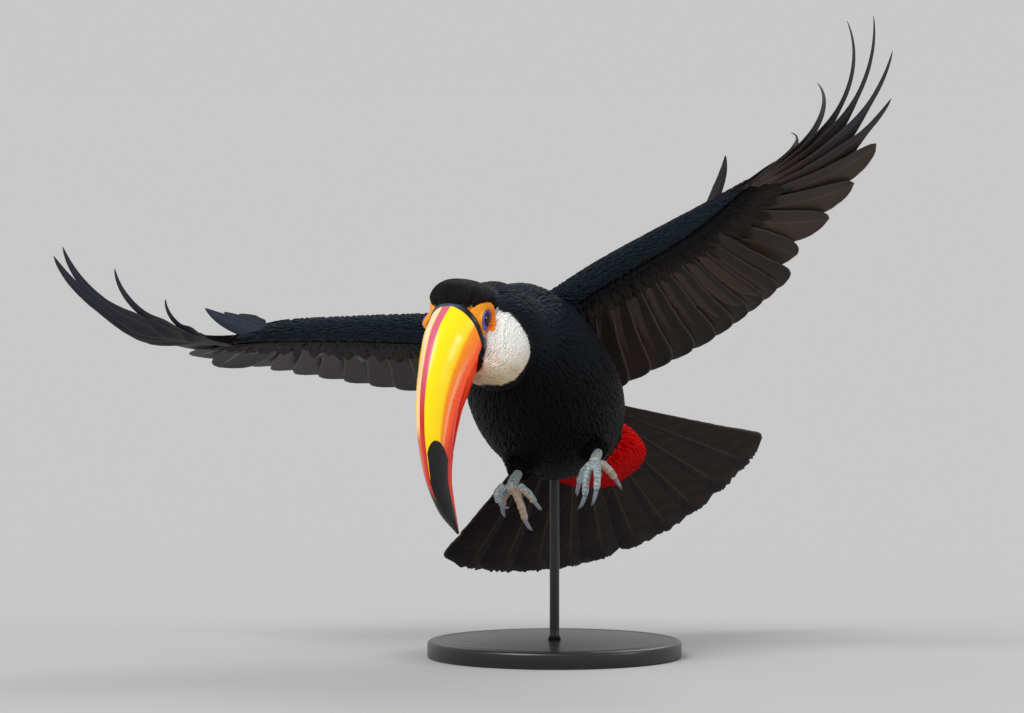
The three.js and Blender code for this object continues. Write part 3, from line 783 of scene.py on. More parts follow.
@dataclass(frozen=True)
class FlightFinish:
    """Stiff vanes: brown-black, a paler shaft, slanted barbs and worn brown edges."""

    name: str
    inner: tuple
    outer: tuple
    barbs: float = 150.0        # barbs along one feather
    shaft: tuple = srgb(62, 53, 48)
    tip: tuple = srgb(30, 34, 48)
    tip_share: float = 0.0      # how far the vane takes the tip's colour

    def material(self) -> Material:
        """Vane colour from the leading to the trailing side, with barbs at a slant from the shaft.

        Returns:
            The material.
        """
        s = Shader(self.name, Roughness=0.5, Specular_IOR_Level=0.2, Sheen_Weight=0.02, Sheen_Roughness=0.4)
        side = s.attribute("vane_side")
        length = s.attribute("vane_length")
        slant = length - abs(side) * 0.05
        fine = s.noise(s.joined(slant * 260, side * 2.5), 1.0, 3.0)
        broad = s.noise(s.joined(slant * 22, side * 1.5), 1.0, 2.0)
        lines = (slant * (self.barbs * TURN)).wave()
        vane = s.blend(side.rise(-0.2, 0.75), self.inner, self.outer)
        vane = s.blend(broad.rise(0.4, 0.75) * 0.3, vane, srgb(70, 57, 49))
        vane = s.blend(fine.rise(0.4, 0.8) * 0.3, vane, srgb(22, 20, 21))
        vane = s.blend(abs(side).rise(0.88, 1.0) * 0.5, vane, srgb(88, 76, 66))
        far_out = s.attribute("rank").rise(0.35, 0.6)
        vane = s.blend(length.rise(0.35, 0.7) * far_out * self.tip_share, vane, self.tip)
        shaft = abs(side).rise(0.075, 0.03) * length.rise(1.0, 0.8)
        s.link(Base_Color=s.blend(shaft * 0.7, vane, self.shaft), Roughness=shaft * -0.22 + 0.52)
        s.bump(lines * 0.1 + fine * 0.6 + shaft * 2.0, 0.4, 0.0003)
        return s.material


# ---- flesh
@dataclass(frozen=True)
class Coat:
    """How a stretch of the body is feathered, in millimetres."""

    depth: float
    length: float
    width: float
    spacing: float


@dataclass(frozen=True)
class Loft:
    """A body of oval rings: centre + cos(a) half width across + sin(a) half height high, ring by ring."""

    centres: Array
    across: Array
    high: Array
    widths: Array
    heights: Array
    coat: Coat
    lie: float = 1.0    # 1 where the feathers point along the rings' order, -1 where against it
    slant: float = 0.0  # how far they lean across for each step along
    away_from: Array | None = None  # a place that they point away from, in its place

    ROWS = 26
    END_REACH = 12.0
    LEAST = 1.5         # half width that is left of any ring

    @classmethod
    def by_frame(cls, held: TurnedFrame, stations: tuple, coat: Coat, **lay: object) -> "Loft":
        """Rings square to a turned frame.

        Args:
            held: the frame.
            stations: rows of forward, up, half width and half height.
            coat: the feathers.
            lay: how they lie, where it isn't along the rings' order.

        Returns:
            The body.
        """
        t = np.linspace(0, 1, cls.ROWS)
        rows = np.asarray(stations, float)
        line = Curve(rows[:, :3]).at(t)
        fixed = np.ones((cls.ROWS, 1))
        return cls(held.place(line[:, 0], 0 * t, line[:, 1]), held.left * fixed, held.up * fixed, line[:, 2],
                   smooth_value(rows[:, 3], t), coat, **lay)

    @classmethod
    def by_path(cls, stations: Array | tuple, aim: Array, coat: Coat, **lay: object) -> "Loft":
        """Rings square to a path.

        Args:
            stations: rows of x, y, z, half width and half depth.
            aim: the way that the half widths point, as far as the path allows.
            coat: the feathers.
            lay: how they lie, where it isn't along the rings' order.

        Returns:
            The body.
        """
        t = np.linspace(0, 1, cls.ROWS)
        rows = np.asarray(stations, float)
        path = Curve(rows[:, :3])
        heading = path.heading(t)
        across = square_to(aim, heading)
        return cls(path.at(t), across, np.cross(heading, across), smooth_value(rows[:, 3], t),
                   smooth_value(rows[:, 4], t), coat, **lay)

    @cached_property
    def headings(self) -> Array:
        """Unit vectors along the line of centres."""
        return unit(np.gradient(self.centres, axis=0))

    def rings(self, inset: float, sides: int) -> Array:
        """The oval rings, drawn in all round and at both ends.

        Args:
            inset: by how many millimetres.
            sides: points on a ring.

        Returns:
            Rings by sides by 3.
        """
        shift = np.linspace(inset, -inset, len(self.centres))[:, None]
        wide, tall = (np.maximum(half - inset, self.LEAST) for half in (self.widths, self.heights))
        return oval_rings(self.centres + self.headings * shift, self.across, self.high, wide, tall, sides)

    def reach(self, points: Array) -> tuple[Array, Array, Array]:
        """Where points lie beside the body.

        Each ring weighs a point by the oval distance in its plane and the distance from its plane over
        END_REACH; the nearest ring counts.

        Args:
            points: N by 3.

        Returns:
            The oval distance (1 on the surface), the share along the body and the angle round it.
        """
        d = points[:, None] - self.centres
        a = (d * self.across).sum(-1) / self.widths
        b = (d * self.high).sum(-1) / self.heights
        c = (d * self.headings).sum(-1) / self.END_REACH
        far = a * a + b * b + c * c
        i = far.argmin(1)
        n = np.arange(len(points))
        return np.sqrt(far[n, i]), i / (len(self.centres) - 1), np.arctan2(b[n, i], a[n, i])

    def direction(self, points: Array, share: Array) -> Array:
        """The coat's lie at places and their shares along the body."""
        if self.away_from is not None:
            return unit(points - self.away_from)
        return along(self.headings, share) * self.lie + along(self.across, share) * self.slant


def in_trunk(stations: tuple) -> Array:
    """Stations whose place is given in the trunk's frame, as places from the trunk's middle."""
    rows = np.asarray(stations, float)
    return np.concatenate([TRUNK.place(rows[:, 0], rows[:, 1], rows[:, 2]), rows[:, 3:]], 1)


# ---- wings
@dataclass(frozen=True)
class WingPlan:
    """Everything that the pieces of one wing share, in millimetres from the trunk's middle."""

    name: str
    side: int
    edge: Array                 # six places along the front edge
    chords: Array               # unit vectors from there back
    inner_aim: tuple
    wrist_aim: tuple
    primary_aims: tuple
    bends_to: tuple
    bends: tuple[float, float]
    aim_power: float
    alula_aim: tuple
    alula_bend_to: tuple
    finger_tilt: float          # how far the fingers' upper side faces the bird's back, as a cosine
    finger_width: float
    finger_start: float         # share of the length where the longest are cut in
    finger_point: float         # the power of their taper: less is more pointed
    last_finger: float          # width of the outermost, as a share of the others'
    sweep: float                # degrees that the secondaries curve outwards
    inner_lean: float           # degrees that the inner secondaries lean to the body
    alula_lengths: tuple
    alula_half: float
    alula_apart: tuple          # millimetres between thumb feathers along the chord, up and along the span

    @cached_property
    def path(self) -> Curve:
        """The wing's front edge."""
        return Curve(self.edge)

    @cached_property
    def ups(self) -> Array:
        """The wing's upper side at the six places: span x chord, turned to the back."""
        padded = np.concatenate([self.edge[:1], self.edge, self.edge[-1:]])
        return unit(np.cross(padded[2:] - padded[:-2], self.chords)) * self.side

    @cached_property
    def hand_up(self) -> Array:
        """The upper side of the fan of primaries."""
        return unit(np.cross(*unit(self.primary_aims))) * -self.side

    def arm(self, t: Array, back: Array, face: int) -> Array:
        """The arm's surface.

        Place = edge(t) + chord * back * chord length + up * face * half thickness * profile(back), where
        the profile swells fast behind the front edge and thins out behind.

        Args:
            t: share along the front edge.
            back: share of the chord, from -0.09 at the very front to 1.
            face: 1 on the upper side, -1 on the under side.

        Returns:
            Points, one for each t.
        """
        chord = unit(along(self.chords, t))
        up = square_to(along(self.ups, t), chord)
        swell = np.interp(back, (-0.09, -0.07, -0.036, 0.07, 0.2, 0.35, 0.7, 1.0),
                          (0, 0.5, 0.75, 1, 0.95, 0.62, 0.3, 0.09))
        length = (back * smooth_value(ARM_CHORDS, t))[..., None]
        high = (face * swell * smooth_value(ARM_THICKNESS, t) * 0.5)[..., None]
        return self.path.at(t) + chord * length + up * high


LEFT_WING = WingPlan(
    name="left", side=1,
    edge=np.array([(2, -18, 72), (41, -58, 101), (80, -88, 125), (109, -100, 142), (134, -103, 157),
                   (160, -104, 173)], float),
    chords=unit(((-0.05, 0.83, -0.56), (0.05, 0.84, -0.55), (0.25, 0.82, -0.5), (0.5, 0.75, -0.43),
                 (0.62, 0.7, -0.3), (0.7, 0.6, -0.2))),
    inner_aim=(-0.08, 0.79, -0.61), wrist_aim=(0.62, 0.7, -0.36),
    primary_aims=((0.714, 0.661, -0.232), (0.812, -0.135, 0.568)),
    bends_to=((0.206, -0.588, 0.782), (0.6, 0.527, 0.602)),
    bends=(2, 106), aim_power=0.85, alula_aim=(0.5, 0.1, 0.86), alula_bend_to=(-0.6, 0.3, 0.6),
    finger_tilt=0.5, finger_width=0.36, finger_start=0.28, finger_point=2.8, last_finger=1.8,
    sweep=14, inner_lean=0,
    alula_lengths=(46, 41, 35), alula_half=5.2, alula_apart=(2.5, 0, -1.5),
)
RIGHT_WING = WingPlan(
    name="right", side=-1,
    edge=np.array([(-52, -32, 56), (-105, -36, 56), (-160, -34, 55), (-213, -30, 52), (-235, -38, 48),
                   (-253, -47, 43)], float),
    chords=unit(((0.14, 0.9, -0.41), (0.1, 0.91, -0.39), (0, 0.93, -0.35), (-0.15, 0.94, -0.29),
                 (-0.35, 0.9, -0.25), (-0.5, 0.84, -0.2))),
    inner_aim=(0.12, 0.89, -0.44), wrist_aim=(-0.25, 0.95, -0.2),
    primary_aims=((-0.452, 0.86, -0.236), (-0.987, -0.092, 0.131)),
    bends_to=((-0.082, -0.326, 0.942), (-0.038, 0.701, 0.713)),
    bends=(-7, 83), aim_power=1.13, alula_aim=(-0.93, -0.25, 0.2), alula_bend_to=(-0.2, 0.1, 0.97),
    finger_tilt=0.75, finger_width=0.55, finger_start=0.35, finger_point=3.4, last_finger=0.5,
    sweep=10, inner_lean=14,
    alula_lengths=(54, 38, 26), alula_half=8.0, alula_apart=(0.5, 2.6, -2.5),
)


def feather_lines(roots: Array, aims: Array, bend_to: Array, lengths: Array, bends: Array,
                  steps: int) -> Array:
    """Middle lines of feathers that set out along an aim and turn towards another direction.

    The heading at share s of the length is aim cos(p) + side sin(p), where side is the part of bend_to
    square to the aim and p = bend * s^1.5; the places are the running sum of the steps.

    Args:
        roots: N by 3.
        aims: N by 3, unit.
        bend_to: N by 3.
        lengths: N.
        bends: N, in degrees.
        steps: number of steps on each line.

    Returns:
        N by (steps + 1) by 3.
    """
    side = square_to(bend_to, aims)[:, None]
    s = (np.arange(steps) + 0.5) / steps
    turn = (np.radians(bends)[:, None] * s**1.5)[..., None]
    step = (aims[:, None] * np.cos(turn) + side * np.sin(turn)) * (lengths / steps)[:, None, None]
    return roots[:, None] + np.pad(np.cumsum(step, 1), ((0, 0), (1, 0), (0, 0)))


# ---- feathers
@dataclass(frozen=True)
class VaneSheets:
    """Large feathers as thin closed sheets: a grid along the shaft and across both vanes."""

    cols: int = 15
    slant: float = 0.55         # how far a barb runs on for each millimetre out
    sheet: float = 0.35         # thickness of the vane, in millimetres
    shaft: float = 1.5          # thickness at the root of the shaft
    camber: float = 0.07        # droop of the vane's edge as a share of its width
    splits: int = 4
    fray: float = 0.0           # how unevenly the barbs end at the tip, in millimetres

    def add_to(self, build: Build, lines: Array, ups: Array, inner: Array, outer: Array,
               rng: Rng, strip: tuple[float, float]) -> None:
        """Adds feathers.

        A vane point is line + across w + heading slant |w| (1 - s^3) - up camber w^2 / width, w in
        millimetres from the shaft; each feather has a few slits where its barbs have come apart, and its
        shaft stands out on both sides.

        Args:
            build: the mesh that takes them.
            lines: shafts, N by rows by 3.
            ups: upper side of the feather at each place, N by rows by 3.
            inner: width of the trailing vane at each place, N by rows.
            outer: width of the leading vane, N by rows; leading is heading x up.
            rng: random numbers.
            strip: the stretch of the bake's map, across, that these feathers share.
        """
        count, rows = lines.shape[:2]
        s = np.linspace(0, 1, rows)[None, :, None]
        heading = unit(np.gradient(lines, axis=1))[:, :, None]
        up = square_to(ups, heading[:, :, 0])[:, :, None]
        across = np.cross(heading, up)
        w = np.linspace(-1, 1, self.cols)
        w = (np.sign(w) * np.abs(w) ** 0.8)[None, None]
        width = np.where(w < 0, inner[..., None], outer[..., None])
        slit = np.zeros((count, rows, self.cols))
        for _ in range(self.splits):
            place = rng.uniform(0.35, 0.98, (count, 1, 1))
            sign = rng.choice((-1, 1), (count, 1, 1))
            size = rng.uniform(0.02, 0.1, (count, 1, 1))
            slit = np.maximum(slit, size * hump((s - place) * rows, 0, 0.7) * (w * sign > 0.1))
        ragged = 1 - slit * np.abs(w) - 0.025 * rng.random((count, rows, 1)) * np.abs(w)
        out = (w * width * ragged)[..., None]
        lean = np.abs(out) * self.slant * (1 - s**3)[..., None]
        droop = out**2 / np.maximum(width, 1e-3)[..., None] * self.camber
        worn = (rng.random((count, 1, self.cols)) - 0.7) * self.fray * s**14
        middle = lines[:, :, None] + across * out + heading * (lean + worn[..., None]) - up * droop
        thick = self.sheet * 0.5 * (1 - 0.75 * np.abs(w)) + (
            self.shaft * 0.5 * (1 - 0.85 * s) * hump(w * width, 0, 1.3))
        points = np.stack([middle + up * thick[..., None], middle - up * thick[..., None]], 1)
        under = rows * self.cols
        grid = grid_faces(rows, self.cols, False)
        rim = np.concatenate([np.arange(self.cols), np.arange(1, rows) * self.cols + self.cols - 1,
                              (rows - 1) * self.cols + np.arange(self.cols - 2, -1, -1),
                              np.arange(rows - 2, 0, -1) * self.cols])
        after = np.roll(rim, -1)
        edge = np.stack([rim, rim + under, after + under, after], -1)
        one = np.concatenate([grid, grid[:, ::-1] + under, edge])
        flat = points[0].reshape(-1, 3)
        one = outward(flat - flat.mean(0), [one])[0]
        number = np.arange(count)[:, None, None, None]
        start, end = strip
        column = start + (number + 0.04 + 0.92 * (w[None] + 1) / 2) / count * (end - start)
        row = np.stack([0.01 + 0.48 * s, 0.51 + 0.48 * s], 1)
        side, length, rank, _ = np.broadcast_arrays(w, s[None], number / (count - 1), points[..., 0])
        build.add(points, [tiled(one, count, 2 * under)], uv=np.stack(np.broadcast_arrays(column, row), -1),
                  vane_side=side, vane_length=length, rank=rank)


class TuftCloud:
    """Small feathers as thin closed vanes of five rings, each with two edges and a ridge."""

    STATIONS = np.array([0.0, 0.3, 0.6, 0.84, 1.0])
    OUTLINE = np.array([0.5, 0.95, 1.0, 0.68, 0.12])
    ARCH = 0.13         # height of the ridge over the edges, as a share of the half width
    PATCH = 0.003       # size of one feather on the bake's map

    # one feather's faces: bands of two upper quads and one lower, and two end caps
    QUADS = np.concatenate([np.arange(4)[:, None] * 3 + quad
                            for quad in ((0, 1, 4, 3), (1, 2, 5, 4), (0, 3, 5, 2))])
    CAPS = np.array([[0, 2, 1], [12, 13, 14]])

    def add_to(self, build: Build, lines: Array, normals: Array, widths: Array, colours: Array,
               places: Array) -> None:
        """Adds feathers.

        Args:
            build: the mesh that takes them.
            lines: middle lines, N by 5 by 3.
            normals: outward directions along them, N by 5 by 3.
            widths: greatest half widths, N.
            colours: N by 3.
            places: each root's place on the bake's map, N by 2.
        """
        count = len(lines)
        heading = unit(np.gradient(lines, axis=1))
        normal = square_to(normals, heading)
        across = np.cross(heading, normal)
        half = (widths[:, None] * self.OUTLINE)[..., None]
        low = lines - normal * half * self.ARCH
        points = np.stack([low - across * half, lines, low + across * half], 2)
        side = np.broadcast_to([-1.0, 0.0, 1.0], (count, 5, 3))
        length = np.broadcast_to(self.STATIONS[:, None], (count, 5, 3))
        corner = np.stack([side * self.OUTLINE[:, None] * 0.5, length - 0.5], -1) * self.PATCH
        build.add(points, [tiled(self.QUADS, count, 15), tiled(self.CAPS, count, 15)],
                  uv=places[:, None, None] + corner, vane_side=side, vane_length=length,
                  plumage=np.broadcast_to(colours[:, None, None], (count, 5, 3, 3)))


TUFTS = TuftCloud()


# ---- body
class Place(IntEnum):
    """Stretches of the body, in the order of the flesh's lofts."""

    TRUNK = 0
    NECK = 1
    THROAT = 2
    HEAD = 3
    UNDERTAIL = 4
    RUMP = 5
    THIGH_LEFT = 6
    THIGH_RIGHT = 7
    ARM_LEFT = 8
    ARM_RIGHT = 9


@dataclass
class Bodywork:
    """The one skin under the coat, and the coat of small feathers on it."""

    voxel: float = 2.4          # grain of the joined flesh, in millimetres
    smoothing: int = 8
    oversample: float = 3.2
    rod_clearance: float = 5.5
    bare_depth: float = 2.5     # how far the skin lies under the bare patches
    breast_from: float = 20.0   # forward of the trunk's middle
    white_from: float = 0.12    # least colour of a white feather
    cheek_from: float = 12.0    # sideways of the head's middle
    cell: float = 0.92          # of the spacing, for the grids that thin the roots
    thighs: tuple = (
        ((22, 4, -34, 23, 23), (37, -18, -43.5, 15, 15), (41.5, -37, -48.5, 9.5, 9.5)),
        ((-16, -4, -44, 23, 23), (-19, -17, -57, 15, 15), (-22.7, -34, -66, 9.5, 9.5)),
    )                           # x, y, z, half width and half depth, left and right

    # the coat's pieces apart from the trunk's and the bib, with their stretches, and all that aren't black
    COATS = {
        "coat_head": [Place.HEAD], "coat_neck": [Place.NECK, Place.THROAT], "coat_rump": [Place.RUMP],
        "coat_undertail": [Place.UNDERTAIL], "coat_thighs": [Place.THIGH_LEFT, Place.THIGH_RIGHT],
        "coat_arm_left": [Place.ARM_LEFT], "coat_arm_right": [Place.ARM_RIGHT],
    }
    SLOTS = {"coat_bib": "coat_white", "coat_rump": "coat_white", "coat_undertail": "coat_red",
             "coat_arm_left": "coat_bluish", "coat_arm_right": "coat_bluish"}

    @cached_property
    def lofts(self) -> list[Loft]:
        """The flesh's bodies; the arms are ovals about their own chords.

        Returns:
            The lofts, in the order of Place.
        """
        bill = HEAD.place(34.0, 0.0, -12.0)
        made = [
            Loft.by_frame(TRUNK, TRUNK_STATIONS, Coat(3.4, 16, 1.75, 2.05), lie=-1),
            Loft.by_path(NECK_STATIONS, HEAD.left, Coat(2.5, 12, 1.35, 1.7), lie=-1),
            Loft.by_path(THROAT_STATIONS, HEAD.left, Coat(0.8, 6, 0.85, 0.97), away_from=bill),
            Loft.by_frame(HEAD, SKULL_STATIONS, Coat(1.0, 6, 0.7, 1.0), away_from=bill),
            Loft.by_path(in_trunk(UNDERTAIL_STATIONS), TRUNK.left, Coat(2.6, 15, 1.8, 1.8)),
            Loft.by_path(in_trunk(RUMP_STATIONS), TRUNK.left, Coat(2.6, 15, 1.8, 1.8)),
        ]
        made += [Loft.by_path(stations, TRUNK.left, Coat(2.2, 10, 1.3, 1.8)) for stations in self.thighs]
        for plan in (LEFT_WING, RIGHT_WING):
            t = np.linspace(0, 1, Loft.ROWS)
            chord = unit(along(plan.chords, t))
            half = smooth_value(ARM_CHORDS, t) * 0.2
            made.append(Loft(plan.path.at(t) + chord * half[:, None] * 0.75, chord,
                             square_to(along(plan.ups, t), chord), half,
                             smooth_value(ARM_THICKNESS, t) * 0.48, Coat(1.3, 10, 1.1, 1.6), slant=0.3))
        return made

    def make_skin(self) -> None:
        """Joins the lofts, each inside its solid by the coat's depth, into one smooth skin."""
        raw = Build()
        for loft in self.lofts:
            raw.tube(loft.rings(loft.coat.depth, 40))
        flesh = Flesh.joined(raw, self.voxel, self.smoothing)
        flesh = Flesh.of(BILL_SEAT.draw_in(flesh.vertices), flesh.triangles)
        self.vertices, self.normals, self.triangles = flesh.vertices, flesh.normals, flesh.triangles
        self.keep_fields()
        self.tree = BVHTree.FromPolygons([Vector(v) for v in self.vertices], self.triangles.tolist())
        skin = Build()
        faces = self.triangles
        owner = self.fields[faces].sum(1).argmin(1)
        share = self.shares[faces, owner[:, None]]
        angle = self.angles[faces, owner[:, None]]
        angle = angle[:, :1] + (angle - angle[:, :1] + np.pi) % (2 * np.pi) - np.pi
        skin.add(self.under_face(), [faces], plumage=self.skin_colours())
        skin.corners.append(self.map_place(owner[:, None], share, angle).reshape(-1, 2))
        obj = skin.make("skin")
        fit_out(obj, SkinFinish().material(), "coat_black", "head", "throat", "neck", "trunk", "rump",
                "undertail", "leg_left_thigh", "leg_right_thigh",
                *(f"wing_{side}_{part}" for side in ("left", "right")
                  for part in ("upper_arm", "forearm", "hand")))

    def bare(self, points: Array, margin: Array | float, reach: float) -> Array:
        """Whether points lie within a margin round the bare patches, up to `reach` out to each side."""
        f, l, u = HEAD.read(points)
        return FacePatch().inside(f, u, margin) & (np.abs(l) > self.cheek_from) & (np.abs(l) < reach)

    def under_face(self) -> Array:
        """The skin's vertices, drawn in under the bare patches round the eyes."""
        deep = self.bare_depth * self.bare(self.vertices, -0.8, 27.5) * np.sign(HEAD.read(self.vertices)[1])
        return self.vertices - HEAD.left * deep[:, None]

    def keep_fields(self) -> None:
        """Works out, at each vertex, how far each loft reaches, where it lies on it, and the coat's lie.

        The lie is the sum of the lofts' directions, each weighed by exp(-9 (reach - least reach)).
        """
        found = [loft.reach(self.vertices) for loft in self.lofts]
        self.fields, self.shares, self.angles = (np.stack([f[k] for f in found], 1) for k in range(3))
        near = self.fields - self.fields.min(1, keepdims=True)
        weight = np.exp(-9 * near)
        lie = sum(loft.direction(self.vertices, self.shares[:, k]) * weight[:, k:k + 1]
                  for k, loft in enumerate(self.lofts))
        self.lies = square_to(lie, self.normals)
        self.weights = weight / weight.sum(1, keepdims=True)

    @staticmethod
    def map_place(owner: Array, share: Array, angle: Array) -> Array:
        """Places on the bake's map: each loft has one cell of a 4 by 3 board, along by round.

        Args:
            owner: number of the loft.
            share: share along it, from 0 to 1.
            angle: angle round it, from -pi to pi.

        Returns:
            A place for each.
        """
        edge, gap = 0.03, 0.1       # left free round a cell, along and round
        u = (owner % 4 + edge + (1 - 2 * edge) * share) / 4
        v = (owner // 4 + gap + (1 - 2 * gap) * (angle + np.pi) / (2 * np.pi)) / 3
        return np.stack(np.broadcast_arrays(u, v), -1)

    @staticmethod
    def colours(points: Array, fields: Array) -> Array:
        """The plumage's markings.

        Black all over, with a painted bluish sheen that grows above and before and covers the arms, so the
        belly is blackest; white where the throat's loft reaches out furthest, cream at its lower edge; red
        under the tail's root and white over it.

        Args:
            points: N by 3.
            fields: how far each loft reaches there, N by 10.

        Returns:
            Linear colours, N by 3.
        """
        rough = wobble(points, 9, 3)[:, None] * 0.02
        trunk, neck, throat, head, under, rump = (fields[:, p, None] for p in Place if p < Place.THIGH_LEFT)
        arms = fields[:, Place.ARM_LEFT:].min(1, keepdims=True)
        rest = np.minimum(trunk, fields[:, Place.THIGH_LEFT:].min(1, keepdims=True))
        f, _, u = (x[:, None] for x in HEAD.read(points))
        height = points[:, 2:]
        # painted sheen: the black turns bluer with height and over the arms
        blue = smoothstep(height + wobble(points, 60, 5)[:, None] * 10, 0, 70)
        colour = mix(Hue.BELLY.light, Hue.BLUISH.light, blue * 0.8)
        colour = mix(colour, Hue.BLUISH.light, smoothstep(trunk - arms, -0.1, 0.4))
        colour = mix(colour, Hue.CAP.light, smoothstep(np.minimum(trunk, neck) - head, -0.1, 0.2))
        colour = mix(colour, Hue.RED.light, smoothstep(rest - under + rough, -0.02, 0.04))
        colour = mix(colour, Hue.RUMP.light, smoothstep(np.minimum(rest, under) - rump + rough, 0.0, 0.06))
        cheek = smoothstep(rough * 50 - u - 5, -1.5, 1.5) * (head < 1.12)
        cheek = cheek * smoothstep(f + 19 - 0.35 * (u + 6) + rough * 50, -1.5, 1.5)
        other = np.minimum(np.minimum(neck - 0.03, trunk - 0.03), np.minimum(head + 0.03, arms))
        white = np.maximum(smoothstep(other - throat + rough, -0.03, 0.03), cheek)
        corner = 0.04 * np.maximum(0, points[:, :1] + 36) ** 2
        white = white * smoothstep(height - corner + rough * 40, 10.5, 12.5)
        white = white * smoothstep(71.5 - height + rough * 60, -2, 2)
        low = smoothstep(46 - height + rough * 150, 0, 34)
        return mix(colour, mix(Hue.WHITE.light, Hue.CREAM.light, low * 0.85), white)

    def skin_colours(self) -> Array:
        """The plumage's markings on the skin, with orange round the eyes and a black ring at the bill.

        Returns:
            Linear colours, one for each vertex.
        """
        colour = self.colours(self.vertices, self.fields)
        bare = self.bare(self.vertices, 1.5, 36)
        ringed = BILL_SEAT.ringed(*HEAD.read(self.vertices), 0.4)
        return np.where(ringed[:, None], Hue.BELLY.light, np.where(bare[:, None], Hue.FACE.light, colour))

    def sample(self, rng: Rng) -> dict[str, Array]:
        """Scatters feather roots evenly over the skin, closer where its loft's coat is finer.

        Random places are thinned twice: only one is kept in each cell of two grids, half a cell apart.

        Args:
            rng: random numbers.

        Returns:
            Arrays of root, normal, lie, fields, owner and map place.
        """
        tri = self.triangles
        corner = self.vertices[tri]
        area = np.linalg.norm(np.cross(corner[:, 1] - corner[:, 0], corner[:, 2] - corner[:, 0]), axis=1) / 2
        owner = self.fields[tri].sum(1).argmin(1)
        spacing = np.array([loft.coat.spacing for loft in self.lofts])
        wanted = area / spacing[owner] ** 2 * self.oversample
        chosen = rng.choice(len(tri), int(wanted.sum()), p=wanted / wanted.sum())
        weight = rng.dirichlet((1, 1, 1), len(chosen))

        def take(values: Array) -> Array:
            """What the skin's vertices carry, read at the chosen places."""
            return (values[tri[chosen]] * weight[..., None]).sum(1)

        root = take(self.vertices)
        cell = spacing[owner[chosen]][:, None] * self.cell
        for offset in (0.0, 0.5):
            key = np.concatenate([np.floor(root / cell + offset), owner[chosen][:, None]], 1).astype(int)
            kept = np.unique(key, axis=0, return_index=True)[1]
            root, weight, chosen, cell = root[kept], weight[kept], chosen[kept], cell[kept]
        first, own = tri[chosen][:, 0], owner[chosen]
        found = {
            "root": root, "normal": unit(take(self.normals)), "lie": unit(take(self.lies)),
            "fields": take(self.fields), "weights": take(self.weights), "owner": own,
            "place": self.map_place(own, self.shares[first, own], self.angles[first, own]),
        }
        kept = self.feathered(root)
        return {key: value[kept] for key, value in found.items()}

    def feathered(self, root: Array) -> Array:
        """Where the coat grows: not under the horn, on the bare face or round the rod.

        Args:
            root: the feathers' roots, N by 3.

        Returns:
            N truths.
        """
        f, l, u = HEAD.read(root)
        behind = BILL_SEAT.behind(f, u)
        in_bill = (behind < 0.25) & (u > 1) & (u < 23.5) & (np.abs(l) < 30)
        by_horn = (behind < 4) & (u > EYE_UP)
        margin = np.where(by_horn, 2.4, np.where(f > EYE_FORWARD + 3, 1.0, -0.8))
        rod = np.hypot(root[:, 0] + BIRD_CENTRE[0], root[:, 1] + BIRD_CENTRE[1])
        by_rod = (rod < self.rod_clearance) & (root[:, 2] < 0)
        return ~(in_bill | BILL_SEAT.ringed(f, l, u, 0.0) | self.bare(root, margin, 30) | by_rod)

    def lines_over_skin(self, root: Array, normal: Array, lie: Array, length: Array,
                        depth: Array) -> tuple[Array, Array, Array]:
        """Middle lines that rise from the skin to the coat's depth and follow the body.

        The far end is the skin's nearest point to root + lie length. Between them the line is the
        chord plus the arc's rise, length (turn of the normal) / 8, and it stands off the skin by
        depth (1 - (1 - s)^1.6), so that each tip lies on the feathers after it.

        Args:
            root: N by 3.
            normal: N by 3.
            lie: N by 3.
            length: N.
            depth: N.

        Returns:
            Lines and normals, both N by 5 by 3, and how far the lofts reach at the far ends, N by 10.
        """
        goal = root + lie * length[:, None]
        hits = [self.tree.find_nearest(Vector(p)) for p in goal]
        end = np.array([h[0] for h in hits])
        end_normal = np.array([h[1] for h in hits])
        end_normal = np.where(dot(end_normal, normal) < 0, normal, end_normal)
        s = TUFTS.STATIONS[None, :, None]
        rise = (dot(end_normal - normal, lie) * length[:, None] / 8)[:, None] * 4 * s * (1 - s)
        normals = unit(mix(normal[:, None], end_normal[:, None], s))
        off = depth[:, None, None] * (1 - (1 - s) ** 1.6)
        fields = self.fields[self.triangles[[h[2] for h in hits]]].mean(1)
        return mix(root[:, None], end[:, None], s) + normals * (rise + off), normals, fields

    def make_coat(self) -> None:
        """Feathers the skin, in one piece for each stretch of the body."""
        rng = np.random.default_rng(SEED)
        found = self.sample(rng)
        owner = found["owner"]
        count = len(owner)
        sizes = np.array([[c.length, c.width, c.depth] for c in (loft.coat for loft in self.lofts)])
        size = found["weights"] @ sizes
        length = size[:, 0] * rng.uniform(0.8, 1.2, count)
        width = size[:, 1] * rng.uniform(0.85, 1.15, count)
        depth = size[:, 2] * rng.uniform(0.94, 1.04, count)
        across = np.cross(found["normal"], found["lie"])
        clump = wobble(found["root"], 30, 11) * 0.1 + rng.normal(0, 0.05, count)
        lie = unit(found["lie"] + across * clump[:, None])
        lines, normals, ends = self.lines_over_skin(found["root"], found["normal"], lie, length, depth)
        colour = self.colours(mix(found["root"], lines[:, -1], 0.6), mix(found["fields"], ends, 0.6))
        bright = smoothstep(colour.min(1)[:, None], 0.05, 0.4)
        colour = colour * (1 + rng.uniform(-0.13, 0.1, (count, 1)) * mix(1, 0.15, bright))
        white = (colour.min(1) > self.white_from) & np.isin(owner, [Place.THROAT, Place.HEAD, Place.NECK])
        trunk = owner == Place.TRUNK
        forward, _, up = TRUNK.read(found["root"])
        breast = forward > self.breast_from
        chosen = {name: np.isin(owner, places) & ~white for name, places in self.COATS.items()}
        chosen |= {"coat_bib": white, "coat_breast": trunk & breast, "coat_back": trunk & ~breast & (up > 0),
                   "coat_belly": trunk & ~breast & (up <= 0)}
